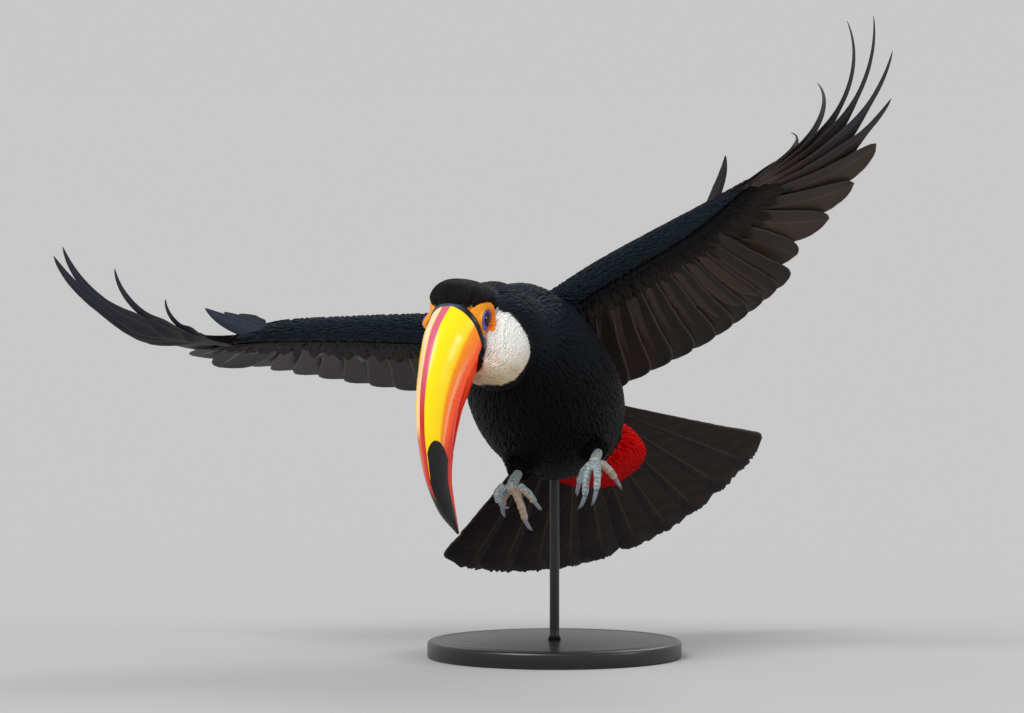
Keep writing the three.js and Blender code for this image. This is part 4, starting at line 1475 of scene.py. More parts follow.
        finishes = {
            "coat_black": PlumageFinish("black plumage"),
            "coat_white": PlumageFinish("pale plumage", roughness=0.8, sheen=0.2, specular=0.12, barbs=9,
                                        contrast=0.35, relief=0.0001),
            "coat_red": PlumageFinish("red plumage", roughness=0.8, sheen=0.0, specular=0.05, barbs=9,
                                      contrast=0.6),
        }
        made = {slot: finish.material() for slot, finish in finishes.items()}
        made["coat_bluish"] = made["coat_black"]
        for name, mask in chosen.items():
            build = Build()
            TUFTS.add_to(build, lines[mask], normals[mask], width[mask], colour[mask], found["place"][mask])
            slot = self.SLOTS.get(name, "coat_black")
            fit_out(build.make(name), made[slot], slot)


# ---- face
@dataclass(frozen=True)
class FacePatch:
    """Bare skin round the eye: an oval patch on the side of the head with the lids in its middle."""

    front: float = 17.0
    rear: float = 13.5
    above: float = 14.5
    below: float = 8.2
    opening: tuple[float, float] = (4.7, 5.7)   # half axes of the open eye, along and up
    ring: tuple[float, float] = (7.8, 6.9)      # half axes of the blue ring
    puff: float = 7.5           # how far the right side's brow swells out
    ball: float = 7.2
    sink: float = 5.5           # the ball's centre under the skin
    stand_off: float = -0.4     # the left eye's middle over the skin
    recess: float = 1.6         # the right eye's middle under the skin
    turn: float = 0.06          # how far the eye leans out for each millimetre up
    rows: int = 46
    sides: int = 120

    CROWDING = 1.25             # over 1: the rings lie closer near the eye
    THICKNESS = 1.6
    PROUD = 0.9                 # how far patch and eye stand out over the skin

    def outline(self, angle: Array) -> Array:
        """The patch's radius: an oval with four half axes, cut off at the horn's base line.

        Args:
            angle: from forward towards up.

        Returns:
            The radius at each angle.
        """
        c, s = np.cos(angle), np.sin(angle)
        oval = 1 / np.sqrt((c / np.where(c > 0, self.front, self.rear)) ** 2
                           + (s / np.where(s > 0, self.above, self.below)) ** 2)
        rise, run, length = BILL_SEAT.OVER_GAPE
        room = BILL_SEAT.behind(EYE_FORWARD, EYE_UP) - 0.5
        return np.minimum(oval, room / np.maximum((rise * c + run * s) / length, 0.05))

    def inside(self, f: Array, u: Array, margin: Array | float) -> Array:
        """Whether places of the head's side lie on the patch, or within `margin` round it."""
        df, du = f - EYE_FORWARD, u - EYE_UP
        return np.hypot(df, du) < self.outline(np.arctan2(du, df)) + margin

    @staticmethod
    def skin_height(f: Array, u: Array, side: int) -> Array:
        """How far out the skin stands: a mean over its vertices by exp(-distance^2 / 2 1.7^2).

        Args:
            f: forward of the bill's base.
            u: up of the bill's base.
            side: 1 on the left, -1 on the right.

        Returns:
            A height for each place.
        """
        vf, vl, vu = HEAD.read(BODY.vertices)
        near = (np.abs(vl * side - 20) < 14) & (np.hypot(vf - EYE_FORWARD, vu - EYE_UP) < 27)
        vf, vl, vu = vf[near], vl[near] * side, vu[near]
        weight = np.exp(((f[..., None] - vf) ** 2 + (u[..., None] - vu) ** 2) / (-2 * 1.7**2)) + 1e-12
        return (weight * vl).sum(-1) / weight.sum(-1)

    def eye_height(self, side: int) -> Array:
        """How far out the eye's middle stands."""
        skin = self.skin_height(np.array(EYE_FORWARD), np.array(EYE_UP), side)
        return skin + (self.stand_off if side > 0 else -self.recess)

    def swelling(self, f: Array, u: Array, side: int) -> Array:
        """The right side's brow: puff exp(-(distance / 8)^2) about a place before and over the eye."""
        return self.puff * hump(np.hypot(f - EYE_FORWARD - 7, u - EYE_UP - 4), 0, 8) * (side < 0)

    def make(self) -> None:
        """Both patches with their lids, and both eyes."""
        patches = Build()
        for name, side in (("left", 1), ("right", -1)):
            self.add_patch(patches, side)
            ball = Build()
            self.add_ball(ball, side)
            fit_out(ball.make(f"eyeball_{name}"), EyeFinish().material(), "eye", f"eye_{name}")
        fit_out(patches.make("bare_face"), BareFaceFinish().material(), "horn_orange")

    def add_patch(self, build: Build, side: int) -> None:
        """One patch.

        Rings run out from the eye's opening, numbered 4 there and 8 at the blue ring's edge. The skin
        stands at the head's side, turns in to the ball at the opening, swells into a lid 0.8 mm high, has
        two fine creases round the lid and wrinkles that run outwards, and sinks under the feathers at
        its edge.

        Args:
            build: the mesh that takes it.
            side: 1 on the left, -1 on the right.
        """
        q = np.linspace(0, 1, self.rows)[:, None] ** self.CROWDING
        angle = np.linspace(0, 2 * np.pi, self.sides, endpoint=False)[None]
        inner, outer = ((np.hypot(np.cos(angle) / a, np.sin(angle) / b)) ** -1
                        for a, b in (self.opening, self.ring))
        radius = mix(inner, self.outline(angle), q)
        f = EYE_FORWARD + radius * np.cos(angle)
        u = EYE_UP + radius * np.sin(angle)
        outer = outer * (1 + 0.18 * np.maximum(np.cos(angle), 0) ** 8)
        around = 4 + 4 * (radius - inner) / (outer - inner)
        lid = 0.75 * hump(around, 5.3, 0.9) - 2.8 * hump(around, 4, 0.7)
        crease = -0.4 * hump(around, 8.2, 0.45) - 0.3 * hump(around, 10.5, 0.5)
        plane = self.eye_height(side) + self.turn * (u - EYE_UP)
        base = mix(plane, self.skin_height(f, u, side), smoothstep(around, 6.5, 12))
        spokes = 0.16 * np.sin(angle * 23 + np.sin(radius) * 1.3) * smoothstep(radius, 4.8, 7)
        pebble = 0.14 * np.sin(f * 3.1 + np.sin(u * 2.3) * 1.4) * np.sin(u * 3.4 + np.sin(f * 1.9))
        edge = -1.2 * smoothstep(q + 0 * angle, 0.92, 1)
        out = base + self.PROUD + lid + crease + spokes + pebble + edge + self.swelling(f, u, side)
        under = HEAD.place(f, side * (out - self.THICKNESS), u)
        points = np.concatenate([HEAD.place(f, side * out, u), under[::-1]])
        loop = grid_faces(2 * self.rows, self.sides, True, loop=True)
        flat = points.reshape(-1, 3)
        build.add(flat, outward(flat - flat.mean(0), [loop]), from_eye=np.concatenate([around, around[::-1]]),
                  head_up=np.concatenate([u, u[::-1]]))

    def add_ball(self, build: Build, side: int) -> None:
        """One eyeball: a globe whose cornea bulges 0.5 mm; it carries the angle from its axis.

        Args:
            build: the mesh that takes it.
            side: 1 on the left, -1 on the right.
        """
        polar = np.linspace(0.02, np.pi - 0.02, 40)[:, None]
        angle = np.linspace(0, 2 * np.pi, 48, endpoint=False)[None]
        radius = self.ball + 0.5 * hump(polar, 0, 0.45)
        high = radius * np.sin(polar) * np.sin(angle)
        deep = radius * np.cos(polar) - self.sink
        tilt = np.arctan(self.turn)
        f = EYE_FORWARD + radius * np.sin(polar) * np.cos(angle)
        u = EYE_UP + high * np.cos(tilt) - deep * np.sin(tilt)
        out = self.eye_height(side) + self.PROUD + deep * np.cos(tilt) + high * np.sin(tilt)
        build.tube(HEAD.place(f, side * out, u), from_axis=polar + 0 * angle)


class EyeFinish:
    """A wet dark eye: black pupil, dark brown iris with a faint paler rim."""

    def material(self) -> Material:
        """Rings by the angle from the eye's axis.

        Returns:
            The material.
        """
        s = Shader("wet dark eye", Roughness=0.08, Specular_IOR_Level=0.3, Coat_Weight=0.25,
                   Coat_Roughness=0.02)
        angle = s.attribute("from_axis")
        streaks = s.noise(s.place(), 2600, 2.0)
        iris = s.blend(streaks, srgb(24, 14, 10), srgb(50, 30, 18))
        colour = s.blend(angle.rise(0.44, 0.48), srgb(3, 3, 4), iris)
        colour = s.blend(angle.rise(0.68, 0.76), colour, srgb(14, 12, 16))
        s.link(Base_Color=colour)
        return s.material


class BareFaceFinish:
    """Orange skin with a blue-violet ring of lid round the eye."""

    def material(self) -> Material:
        """Ring colour inside 8 mm, orange outside, yellower above, pitted and creased.

        Returns:
            The material.
        """
        s = Shader("bare face skin", Roughness=0.42, Specular_IOR_Level=0.45, Subsurface_Weight=0.12,
                   Subsurface_Radius=(0.9, 0.35, 0.12), Subsurface_Scale=0.002)
        place = s.place()
        radius = s.attribute("from_eye") + (s.noise(place, 420) - 0.5) * 0.8
        pits = s.cells(place, 900)
        orange = s.blend(s.attribute("head_up").rise(-8, 18), srgb(255, 132, 8), srgb(255, 164, 14))
        orange = s.blend(s.noise(place, 260).rise(0.45, 0.7) * 0.3, orange, srgb(250, 112, 14))
        blue = s.blend(s.noise(place, 700).rise(0.3, 0.7), srgb(58, 60, 158), srgb(98, 104, 200))
        orange = s.blend(radius.rise(9.0, 8.2) * 0.6, orange, srgb(96, 44, 30))
        colour = s.blend(radius.rise(8.2, 7.6), orange, blue)
        colour = s.blend(radius.rise(5.0, 4.5) * 0.9, colour, srgb(20, 17, 34))
        s.link(Base_Color=colour)
        s.bump(pits.rise(0.0, 0.12), 0.35, 0.0004)
        return s.material


# ---- bill
@dataclass(frozen=True)
class HornFinish:
    """Glossy horn in bands: yellow to orange to red towards the cutting edge, black tip and base."""

    name: str
    upper: bool

    def material(self) -> Material:
        """Bands by the share from the culmen to the edge, broken by noise drawn out along the bill; the
        colour also glows faintly, a painted light that brightens the horn's shaded side.

        Returns:
            The material.
        """
        # painted light: the horn glows faintly in its own colour to brighten its shaded side
        s = Shader(self.name, Roughness=0.28, Specular_IOR_Level=0.3, Coat_Weight=0.14, Coat_Roughness=0.12,
                   Emission_Strength=0.14, Subsurface_Weight=0.06, Subsurface_Radius=(1.0, 0.4, 0.1),
                   Subsurface_Scale=0.003)
        forward, side, left = (s.attribute(name) for name in ("forward", "side", "left_side"))
        streak = s.noise(s.joined(forward * 0.02, side * 26.0, left), 1.0, 2.0)
        grain = s.noise(s.joined(forward * 0.04, side * 9.0, left * 3.0), 1.6, 4.0, 0.6)
        flame = s.noise(s.joined(forward * 0.16, side * 2.2, left), 1.0, 3.0, 0.65)
        if self.upper:
            colour, black = self.upper_bands(s, forward, side, left, streak, grain, flame)
        else:
            darker = (side + (flame - 0.5) * 0.3).rise(0.2, 0.8)
            colour = s.blend(darker, srgb(226, 52, 22), srgb(158, 20, 20))
            black = (forward + (flame - 0.5) * 8).rise(104, 106)
        colour = s.blend(black, colour, s.blend(grain, srgb(16, 16, 18), srgb(34, 34, 38)))
        rim = (s.attribute("from_base") + (flame - 0.5) * 0.9).rise(5.2, 4.8)
        colour = s.blend(rim, colour, s.blend(side.rise(0.5, 0.15), srgb(22, 22, 26), srgb(60, 66, 82)))
        # the emission colour is the painted glow
        s.link(Base_Color=colour, Emission_Color=colour, Roughness=grain * 0.16 + 0.2)
        s.bump(grain * 0.6 + streak * 0.4, 0.22, 0.0005)
        return s.material

    @staticmethod
    def upper_bands(s: Shader, forward: Signal, side: Signal, left: Signal, streak: Signal, grain: Signal,
                    flame: Signal) -> tuple[Signal, Signal]:
        """The upper half's bands, laid one over the other.

        Args:
            s: the shader.
            forward: millimetres before the bill's base.
            side: share from the culmen to the cutting edge.
            left: 1 on the left side, -1 on the right.
            streak: narrow lines along the bill.
            grain: broader lines along it.
            flame: short tongues along it.

        Returns:
            The colour, and where the black spot covers it.
        """
        far = (1 - left) * 0.5
        nick = s.noise(s.joined(forward * 0.35, left), 1.0, 3.0, 0.7) - 0.5
        across = side + nick * 0.09 + (grain - 0.5) * 0.04
        yellow = across + forward * 0.0014 - 0.15
        warm = across + forward * 0.0026 - 0.1
        line = abs(warm - 0.82).rise(0.06, 0.0) * forward.rise(8, 40)
        glow = line * (streak * 0.9 + 0.15) + streak.rise(0.52, 0.8) * yellow.rise(0.5, 0.66) * 0.25
        ridge = s.blend(forward.rise(20, 95), s.blend(grain, srgb(190, 76, 112), srgb(216, 104, 124)),
                        srgb(190, 38, 38))
        tip = (forward * 0.02 - 1.6 + (across - 0.5) * 0.8).rise(0.3, 0.7)
        colour = s.blend(yellow.rise(0.5, 0.6), srgb(255, 215, 0), srgb(255, 140, 0))
        for share, over in (
            (warm.rise(0.7, 0.92), srgb(255, 84, 16)),
            (warm.rise(0.93, 1.06), srgb(214, 32, 20)),
            (glow.least(0.8), srgb(255, 184, 146)),
            # painted highlights on the far side only: a pale pink line by the culmen and pale peach at the
            # base
            (abs(side - 0.25).rise(0.1, 0.06) * far * forward.rise(110, 80) * 0.8, srgb(252, 190, 186)),
            (side.rise(0.14, 0.22) * far * forward.rise(26, 8) * 0.7, srgb(255, 214, 170)),
            ((side - far * 0.08 + (grain - 0.5) * 0.02).rise(0.072, 0.052), ridge),
            (tip * 0.85, srgb(206, 46, 22)),
            (forward.rise(82, 96) * far * 0.85, srgb(206, 62, 58)),
        ):
            colour = s.blend(share, colour, over)
        spot = (forward * 0.09 - 8.37).most(0.0).least(1.0) ** 0.5 * 0.39
        uneven = side - far * 0.3 + (flame - 0.5) * 0.03
        black = (uneven + spot + forward.rise(118, 140) * 0.4).rise(0.47, 0.5)
        return colour, black * (side - spot).rise(0.49, 0.46) * forward.rise(92, 94)


@dataclass(frozen=True)
class Bill:
    """The horn sheaths of both halves of the bill, shut."""

    rows: int = 150
    sides: int = 60

    def sheath(self, upper: tuple, lower: tuple, half_widths: tuple, flat_below: bool) -> Build:
        """One sheath between an upper and a lower side line.

        A ring's point at angle a is foot + left half width cos(a) + rise sin(a)^0.8, where foot is on
        the flat side's line and rise reaches to the other line. A low rim stands out at the base, soft
        swellings run across, and the cutting edge is notched finely.

        Args:
            upper: forward and up of the upper line.
            lower: forward and up of the lower line.
            half_widths: half widths at the lines' points.
            flat_below: whether the flat side is the lower line's.

        Returns:
            The sheath's mesh.
        """
        t = np.linspace(0, 1, self.rows)
        top, bottom = (Curve(HEAD.place(*np.insert(np.array(line, float), 1, 0, axis=1).T)).at(t)
                       for line in (upper, lower))
        foot, rise = (bottom, top - bottom) if flat_below else (top, bottom - top)
        long = np.maximum(np.linalg.norm(rise, axis=1), 1.0)
        rise = unit(rise) * long[:, None]
        angle = np.linspace(0, np.pi, self.sides)[None, :, None]
        wide = smooth_value(half_widths, t)[:, None, None]
        reach = np.linalg.norm(np.gradient(foot + rise * 0.5, axis=0), axis=1).cumsum()
        rim = 1 + 0.035 * smoothstep(reach, 5.0, 4.0)[:, None, None]
        swell = 1 + (0.006 * np.sin(reach * 0.33) + 0.002 * np.sin(reach * 0.87 + 1))[:, None, None]
        notch = (np.maximum(0, np.sin(reach * 1.9)) ** 2 * smoothstep(reach, 30, 50) * 0.6)[:, None, None]
        edge = np.abs(np.cos(angle)) ** 30 * notch * (1 if flat_below else 0)
        points = foot[:, None] + HEAD.left * wide * np.cos(angle) * rim * swell + rise[:, None] * (
            np.sin(angle) ** 0.8 * rim) + unit(rise)[:, None] * edge
        f = HEAD.read(points.reshape(-1, 3))[0].reshape(points.shape[:2])
        from_base = np.linalg.norm(np.diff(points, axis=0), axis=2).cumsum(0)
        from_base = np.concatenate([np.zeros((1, self.sides)), from_base])
        left = np.linspace(1, -1, self.sides)
        build = Build()
        build.tube(points, forward=f, side=np.abs(left) if flat_below else 1 - np.abs(left),
                   from_base=from_base, left_side=np.sign(left))
        return build

    def make(self) -> None:
        """The upper and the lower sheath."""
        top = self.sheath(CULMEN_LINE, TOMIUM_LINE, BILL_HALF_WIDTHS, True)
        fit_out(top.make("horn_upper"), HornFinish("orange horn", True).material(), "horn_orange",
                "bill_upper")
        low = self.sheath(TOMIUM_LINE[:len(LOWER_LINE)], LOWER_LINE, MANDIBLE_HALF_WIDTHS, False)
        fit_out(low.make("horn_lower"), HornFinish("red horn", False).material(), "horn_red", "bill_lower")


# ---- wing feathers
@dataclass(frozen=True)
class WingFeathers:
    """Flight feathers and coverts of one wing."""

    plan: WingPlan
    secondaries: int = 12
    span: tuple[float, float] = (0.04, 0.64)    # stretch of the front edge that they stand on
    rows: int = 44
    covert_rows: int = 15
    under_rows: int = 6
    arm_length: float = 212.0

    # colours of the inner and the outer part of a vane, on the left wing and on the right; the two wings
    # differ only as painted light and shade, for the light that falls on each
    COLOURS = {
        "primaries": (((60, 48, 42), (44, 37, 36)), ((40, 37, 42), (32, 33, 40))),
        "secondaries": (((58, 46, 40), (36, 30, 29)), ((36, 28, 25), (25, 21, 21))),
        "alula": (((12, 13, 17), (10, 11, 15)), ((44, 54, 68), (34, 42, 54))),
    }

    def make(self, rng: Rng) -> None:
        """All the wing's feathers, in five pieces.

        Args:
            rng: random numbers.
        """
        vanes = VaneSheets(splits=1)
        primaries = Build()
        lines, ups, *widths = self.primary_blades()
        vanes.add_to(primaries, lines, ups, *widths, rng, (0.0, 0.8))
        part = self.rows * 9 // 20
        half = 7.0 * taper(np.linspace(0, 1, part), 5) * np.ones((len(lines), 1))
        lines, ups = lines[:, :part], ups[:, :part]
        vanes.add_to(primaries, lines + ups * 1.4, ups, half, half, rng, (0.8, 1.0))
        self.dress(primaries, "primaries", "primary", tip_share=0.8)
        secondaries = Build()
        vanes.add_to(secondaries, *self.secondary_blades(), rng, (0.0, 1.0))
        self.dress(secondaries, "secondaries", "secondary")
        alula = Build()
        VaneSheets(cols=9, shaft=0.9, splits=1).add_to(alula, *self.alula_blades(), rng, (0.0, 1.0))
        self.dress(alula, "alula", "alula")
        self.make_coverts(rng)

    def dress(self, vanes: Build, part: str, piece: str, tip_share: float = 0.0) -> None:
        """Makes one piece of flight feathers.

        Args:
            vanes: its mesh.
            part: the solid that it stands for.
            piece: the feathers' name.
            tip_share: how far they take the tip's colour.
        """
        inner, outer = (srgb(*c) for c in self.COLOURS[part][self.plan.side < 0])
        finish = FlightFinish(f"{part} {self.plan.name}", inner=inner, outer=outer, tip_share=tip_share)
        name = f"wing_{self.plan.name}"
        fit_out(vanes.make(f"{name}_{piece}_vanes"), finish.material(), "flight_feather", f"{name}_{part}")

    def primary_blades(self) -> tuple[Array, ...]:
        """The ten primaries.

        The outer six are cut in to slim pointed fingers, whose upper side turns to back tilt +
        (heading x back) sqrt(1 - tilt^2), back being the part of +Y square to the heading.

        Returns:
            Shafts, upper sides and the widths of both vanes.
        """
        plan = self.plan
        count = len(PRIMARY_LENGTHS)
        t = np.arange(count) / (count - 1)
        aims = between(*plan.primary_aims, t**plan.aim_power)
        roots = mix(plan.edge[3], plan.edge[5], t[:, None]) + plan.chords[4] * 3
        lines = feather_lines(roots, aims, between(*plan.bends_to, t), np.array(PRIMARY_LENGTHS, float),
                              mix(*plan.bends, t), self.rows - 1)
        s = np.linspace(0, 1, self.rows)[None]
        heading = unit(np.gradient(lines, axis=1))
        back = square_to(np.array([0.0, 1.0, 0.0]), heading)
        tilt = plan.finger_tilt
        leaned = back * tilt + np.cross(heading, back) * plan.side * (1 - tilt**2) ** 0.5
        limber = smoothstep(t, 0.35, 0.6)[:, None, None] * smoothstep(s, 0.15, 0.5)[..., None]
        up = unit(mix(square_to(plan.hand_up, heading), leaned, limber))
        t = t[:, None]
        start = mix(0.58, plan.finger_start, smoothstep(t, 0.4, 0.9))
        finger = plan.finger_width * mix(1, plan.last_finger, smoothstep(t, 0.72, 1))
        slim = np.where(t > 0.4, mix(1, finger, smoothstep((s - start) / 0.28, 0, 1)), 1.15)
        pointed = mix(7.0, plan.finger_point, smoothstep(t, 0.3, 0.8))
        half = mix(8, 19, np.minimum(1, s * 2.2)) * slim * mix(1, 0.66, t) * taper(s, pointed, 0.002)
        lines = lines - up * (t[..., None] * 3.0)
        up = turned(up, heading, np.radians(3.5) * plan.side)
        return lines, up, *(half * 1.25, half * 0.75)[::plan.side]

    def secondary_blades(self) -> tuple[Array, ...]:
        """The secondaries, which fan from body to wrist.

        Returns:
            Shafts, upper sides and the widths of both vanes.
        """
        plan = self.plan
        t = (2 * np.arange(self.secondaries) + 1) / (2 * self.secondaries)
        place = mix(*self.span, t)
        roots = plan.path.at(place) + unit(along(plan.chords, place)) * 14
        aims = between(plan.inner_aim, plan.wrist_aim, t)
        up = square_to(along(plan.ups, place), aims)
        outwards = plan.path.heading(place)
        lean = np.radians(plan.sweep * 0.35 + plan.inner_lean * (1 - t))[:, None]
        aims = unit(aims - outwards * np.tan(lean))
        up = square_to(up, aims)
        lines = feather_lines(roots, aims, outwards - up * 0.35, smooth_value(SECONDARY_LENGTHS, t),
                              np.full(len(t), float(plan.sweep)), self.rows - 1)
        ups = np.repeat(up[:, None], self.rows, 1)
        apart = np.linalg.norm(np.gradient(lines, axis=0), axis=2)
        s = np.linspace(0, 1, self.rows)[None]
        half = (apart * 1.45 + 1.5) * mix(0.85, 1, np.minimum(1, s * 3))
        lines = lines - ups * (t[:, None, None] * 2.5 - 1)
        ups = turned(ups, unit(np.gradient(lines, axis=1)), np.radians(3.0) * plan.side)
        return lines, ups, *(half * taper(s, 6) * 1.2, half * taper(s, 12) * 0.8)[::plan.side]

    def alula_blades(self) -> tuple[Array, ...]:
        """The thumb feathers.

        Returns:
            Shafts, upper sides and the widths of both vanes.
        """
        plan = self.plan
        count = len(plan.alula_lengths)
        step = np.arange(count)[:, None]
        behind, over, on = plan.alula_apart
        up = plan.ups[4]
        apart = plan.chords[4] * behind + up * over + unit(plan.edge[5] - plan.edge[4]) * on
        aims = unit(plan.alula_aim) + 0 * step
        roots = plan.edge[4] + up * 1.5 + apart * step - aims * 7
        bend_to = np.array(plan.alula_bend_to) + 0 * step
        lines = feather_lines(roots, aims, bend_to, np.array(plan.alula_lengths, float), np.full(count, 30.0),
                              self.rows // 2)
        ups = np.cross(aims, square_to(bend_to, aims))[:, None]
        s = np.linspace(0, 1, lines.shape[1])[None]
        half = plan.alula_half * taper(s, 2.0, 0.003, 0.7) * mix(0.7, 1, np.minimum(1, s * 3))
        half = half * mix(1, 0.8, step / count)
        return lines, ups, half, half * 0.85

    def make_coverts(self, rng: Rng) -> None:
        """Rows of coverts behind the arm, over and under the wing.

        Args:
            rng: random numbers.
        """
        upper, under = Build(), Build()
        for q in np.linspace(0, 1, self.covert_rows):
            self.add_row(upper, rng, mix(0.1, 0.86, q**1.1), mix(13, 46, q**1.5), mix(2.4, 7.2, q), 1)
        for q in np.linspace(0, 1, self.under_rows):
            self.add_row(under, rng, mix(0.16, 0.58, q), mix(14, 42, q), mix(2.4, 5.6, q), -1)
        name = self.plan.name
        finish = PlumageFinish(f"wing coverts {name}", roughness=0.42, specular=0.3, barbs=30).material()
        fit_out(upper.make(f"coat_wing_{name}_over"), finish, "coat_bluish")
        dull = PlumageFinish(f"under wing coverts {name}", roughness=0.7, specular=0.06, barbs=30).material()
        fit_out(under.make(f"coat_wing_{name}_under"), dull, "coat_bluish")

    def add_row(self, build: Build, rng: Rng, back: float, long: float, wide: float,
                face: int) -> None:
        """One row of coverts.

        A covert's middle line runs over the arm's surface from `back` by its length, and past the arm's
        rear edge it goes straight on; it stands off by up to 1.9 mm and leans outwards along the wing.

        Args:
            build: the mesh that takes them.
            rng: random numbers.
            back: share of the chord at the roots.
            long: length in millimetres.
            wide: greatest half width.
            face: 1 on the upper side, -1 on the under side.
        """
        plan = self.plan
        count = int(self.arm_length / (wide * 1.15))
        t = np.clip((np.arange(count) + rng.uniform(0, 0.9, count)) / count, 0, 0.995)
        length = long * rng.uniform(0.88, 1.12, count) * mix(1, 0.72, smoothstep(t, 0.7, 1))
        s = TUFTS.STATIONS[None]
        chord_length = smooth_value(ARM_CHORDS, t)[:, None]
        far = back + s * length[:, None] / chord_length
        on = np.minimum(far, 1.0)
        outwards = length * (0.03 + 0.22 * smoothstep(t, 0.45, 1.0))
        outwards = t[:, None] + s * outwards[:, None] / self.arm_length
        tt = np.clip(outwards, 0, 1)
        chord = unit(along(plan.chords, tt))
        past = ((far - on) * chord_length)[..., None]
        beyond_tip = (outwards - tt)[..., None] * self.arm_length
        normal = square_to(along(plan.ups, tt), chord) * face
        depth = mix(0.9, 1.9, back) * rng.uniform(0.7, 1.2, (count, 1))
        lines = plan.arm(tt, on, face) + chord * past + unit(plan.path.heading(tt)) * beyond_tip
        lines = lines + normal * (depth * (1 - (1 - s) ** 2.2))[..., None]
        # painted bluish sheen on the front rows of coverts, fading behind
        colour = mix(Hue.BLUISH.light, Hue.COVERT.light * 0.8, 0.35 * (0.4 + back))
        if face < 0:
            # painted shadow: near-black beside the arm, where the arm's edge shades the under side, brown
            # behind
            colour = mix(Hue.BELLY.light, Hue.UNDER.light, smoothstep(back, 0.2, 0.5))
        colour = colour * rng.uniform(0.8, 1.2, (count, 1))
        owner = Place.ARM_LEFT if plan.side > 0 else Place.ARM_RIGHT
        places = Bodywork.map_place(np.full(count, owner), t, np.full(count, face * mix(0.4, 2.8, back)))
        keep = ~self.buried(lines[:, 0])
        TUFTS.add_to(build, lines[keep], normal[keep], np.full(count, wide)[keep], colour[keep], places[keep])

    @staticmethod
    def buried(points: Array) -> Array:
        """Whether points lie well inside the trunk or the neck."""
        trunk, neck = (BODY.lofts[p].reach(points)[0] for p in (Place.TRUNK, Place.NECK))
        return np.minimum(trunk, neck) < 0.82


# ---- tail
@dataclass(frozen=True)
class Tail:
    """Ten broad feathers in a fan."""

    root: tuple = (-62, 12, 11)     # forward, left and up of the trunk's middle
    drop: float = 28.0              # degrees down from the trunk's line
    tilt: float = 16.0              # degrees that the fan's left side is lifted
    swing: float = -5.0             # degrees to the left
    spread: float = 46.0            # degrees from the middle to each edge
    feathers: int = 10
    start: float = 14.0             # where the vanes begin, from the root
    length: float = 188.0
    edge_gain: float = 6.0          # how much longer the outer feathers are
    camber: float = 2.0
    rows: int = 44

    def make(self, rng: Rng) -> None:
        """The fan: shafts at even angles, broad vanes with nearly square, worn ends.

        Args:
            rng: random numbers.
        """
        drop, tilt, swing = np.radians((self.drop, self.tilt, self.swing))
        left = TRUNK.left * np.cos(tilt) + TRUNK.up * np.sin(tilt)
        aim = (-TRUNK.forward * np.cos(drop) - TRUNK.up * np.sin(drop)) * np.cos(swing)
        aim = aim + TRUNK.left * np.sin(swing)
        across = square_to(left, aim)
        up = -np.cross(across, aim)
        root = TRUNK.place(*self.root)
        turn = (2 * np.arange(self.feathers) + 1) / self.feathers - 1
        angle = np.radians(self.spread * turn)[:, None, None]
        end = self.length + self.edge_gain * turn**2
        s = np.linspace(0, 1, self.rows)[None]
        reach = mix(self.start, end[:, None], s)[..., None]
        heading = aim * np.cos(angle) + across * np.sin(angle)
        stack = 3.2 * np.abs(turn)[:, None, None] * (1 - 0.4 * s[..., None])
        sag = self.camber * turn[:, None, None] ** 2 * (reach / self.length) ** 2
        lines = root + heading * reach - up * (sag + stack - 1.2)
        cell = np.radians(2 * self.spread / self.feathers) * reach[..., 0]
        half = np.clip(cell * 0.8, 6, 23) * np.sqrt(np.maximum(1 - 0.8 * s**50, 0.04))
        ups = np.broadcast_to(up, lines.shape)
        outer = mix(0.72, 1.28, (turn[:, None] < 0) * 1.0)
        build = Build()
        vanes = VaneSheets(cols=17, shaft=2.0, splits=2, fray=3.5)
        vanes.add_to(build, lines, ups, half * (2 - outer), half * outer, rng, (0.0, 1.0))
        finish = FlightFinish("tail feathers", inner=srgb(38, 31, 31), outer=srgb(25, 22, 23))
        fit_out(build.make("tail_vanes"), finish.material(), "flight_feather", "tail")


# ---- legs
class ScaledSkin:
    """Blue-grey scutes with cream rims, tan on the soles."""

    def material(self) -> Material:
        """Carried marks: 1 in a groove between scutes, 1 on the sole.

        Returns:
            The material.
        """
        s = Shader("scaled leg skin", Roughness=0.5, Specular_IOR_Level=0.4)
        place = s.place()
        groove = s.attribute("groove")
        sole = s.attribute("sole")
        blue = s.blend(s.noise(place, 400, 4.0).rise(0.35, 0.65), srgb(98, 116, 126), srgb(146, 160, 164))
        worn = s.noise(place, 900, 3.0).rise(0.35, 0.65)
        colour = s.blend(groove.rise(0.3, 0.7) * (worn * 0.6 + 0.2), blue, srgb(206, 202, 178))
        colour = s.blend(groove.rise(0.85, 1.0) * 0.5, colour, srgb(84, 86, 82))
        tan = s.blend(s.noise(place, 900), srgb(190, 152, 108), srgb(150, 130, 110))
        colour = s.blend(sole * 0.7, colour, tan)
        s.link(Base_Color=colour)
        s.bump(s.cells(place, 1500) * 0.4 + s.noise(place, 2500), 0.3, 0.0003)
        return s.material


class ClawFinish:
    """Smooth slate horn, darker to the tip."""

    def material(self) -> Material:
        """Colour by the share along the claw, with streaks.

        Returns:
            The material.
        """
        s = Shader("slate claw", Roughness=0.3, Specular_IOR_Level=0.5, Coat_Weight=0.2, Coat_Roughness=0.2)
        share = s.attribute("along")
        streak = s.noise(s.stretched(s.place(), (1, 1, 0.3)), 900, 3.0)
        colour = s.blend(share.rise(0.1, 0.9), srgb(118, 124, 138), srgb(92, 86, 80))
        s.link(Base_Color=s.blend(streak * 0.3, colour, srgb(40, 40, 48)))
        s.bump(streak, 0.2, 0.0002)
        return s.material


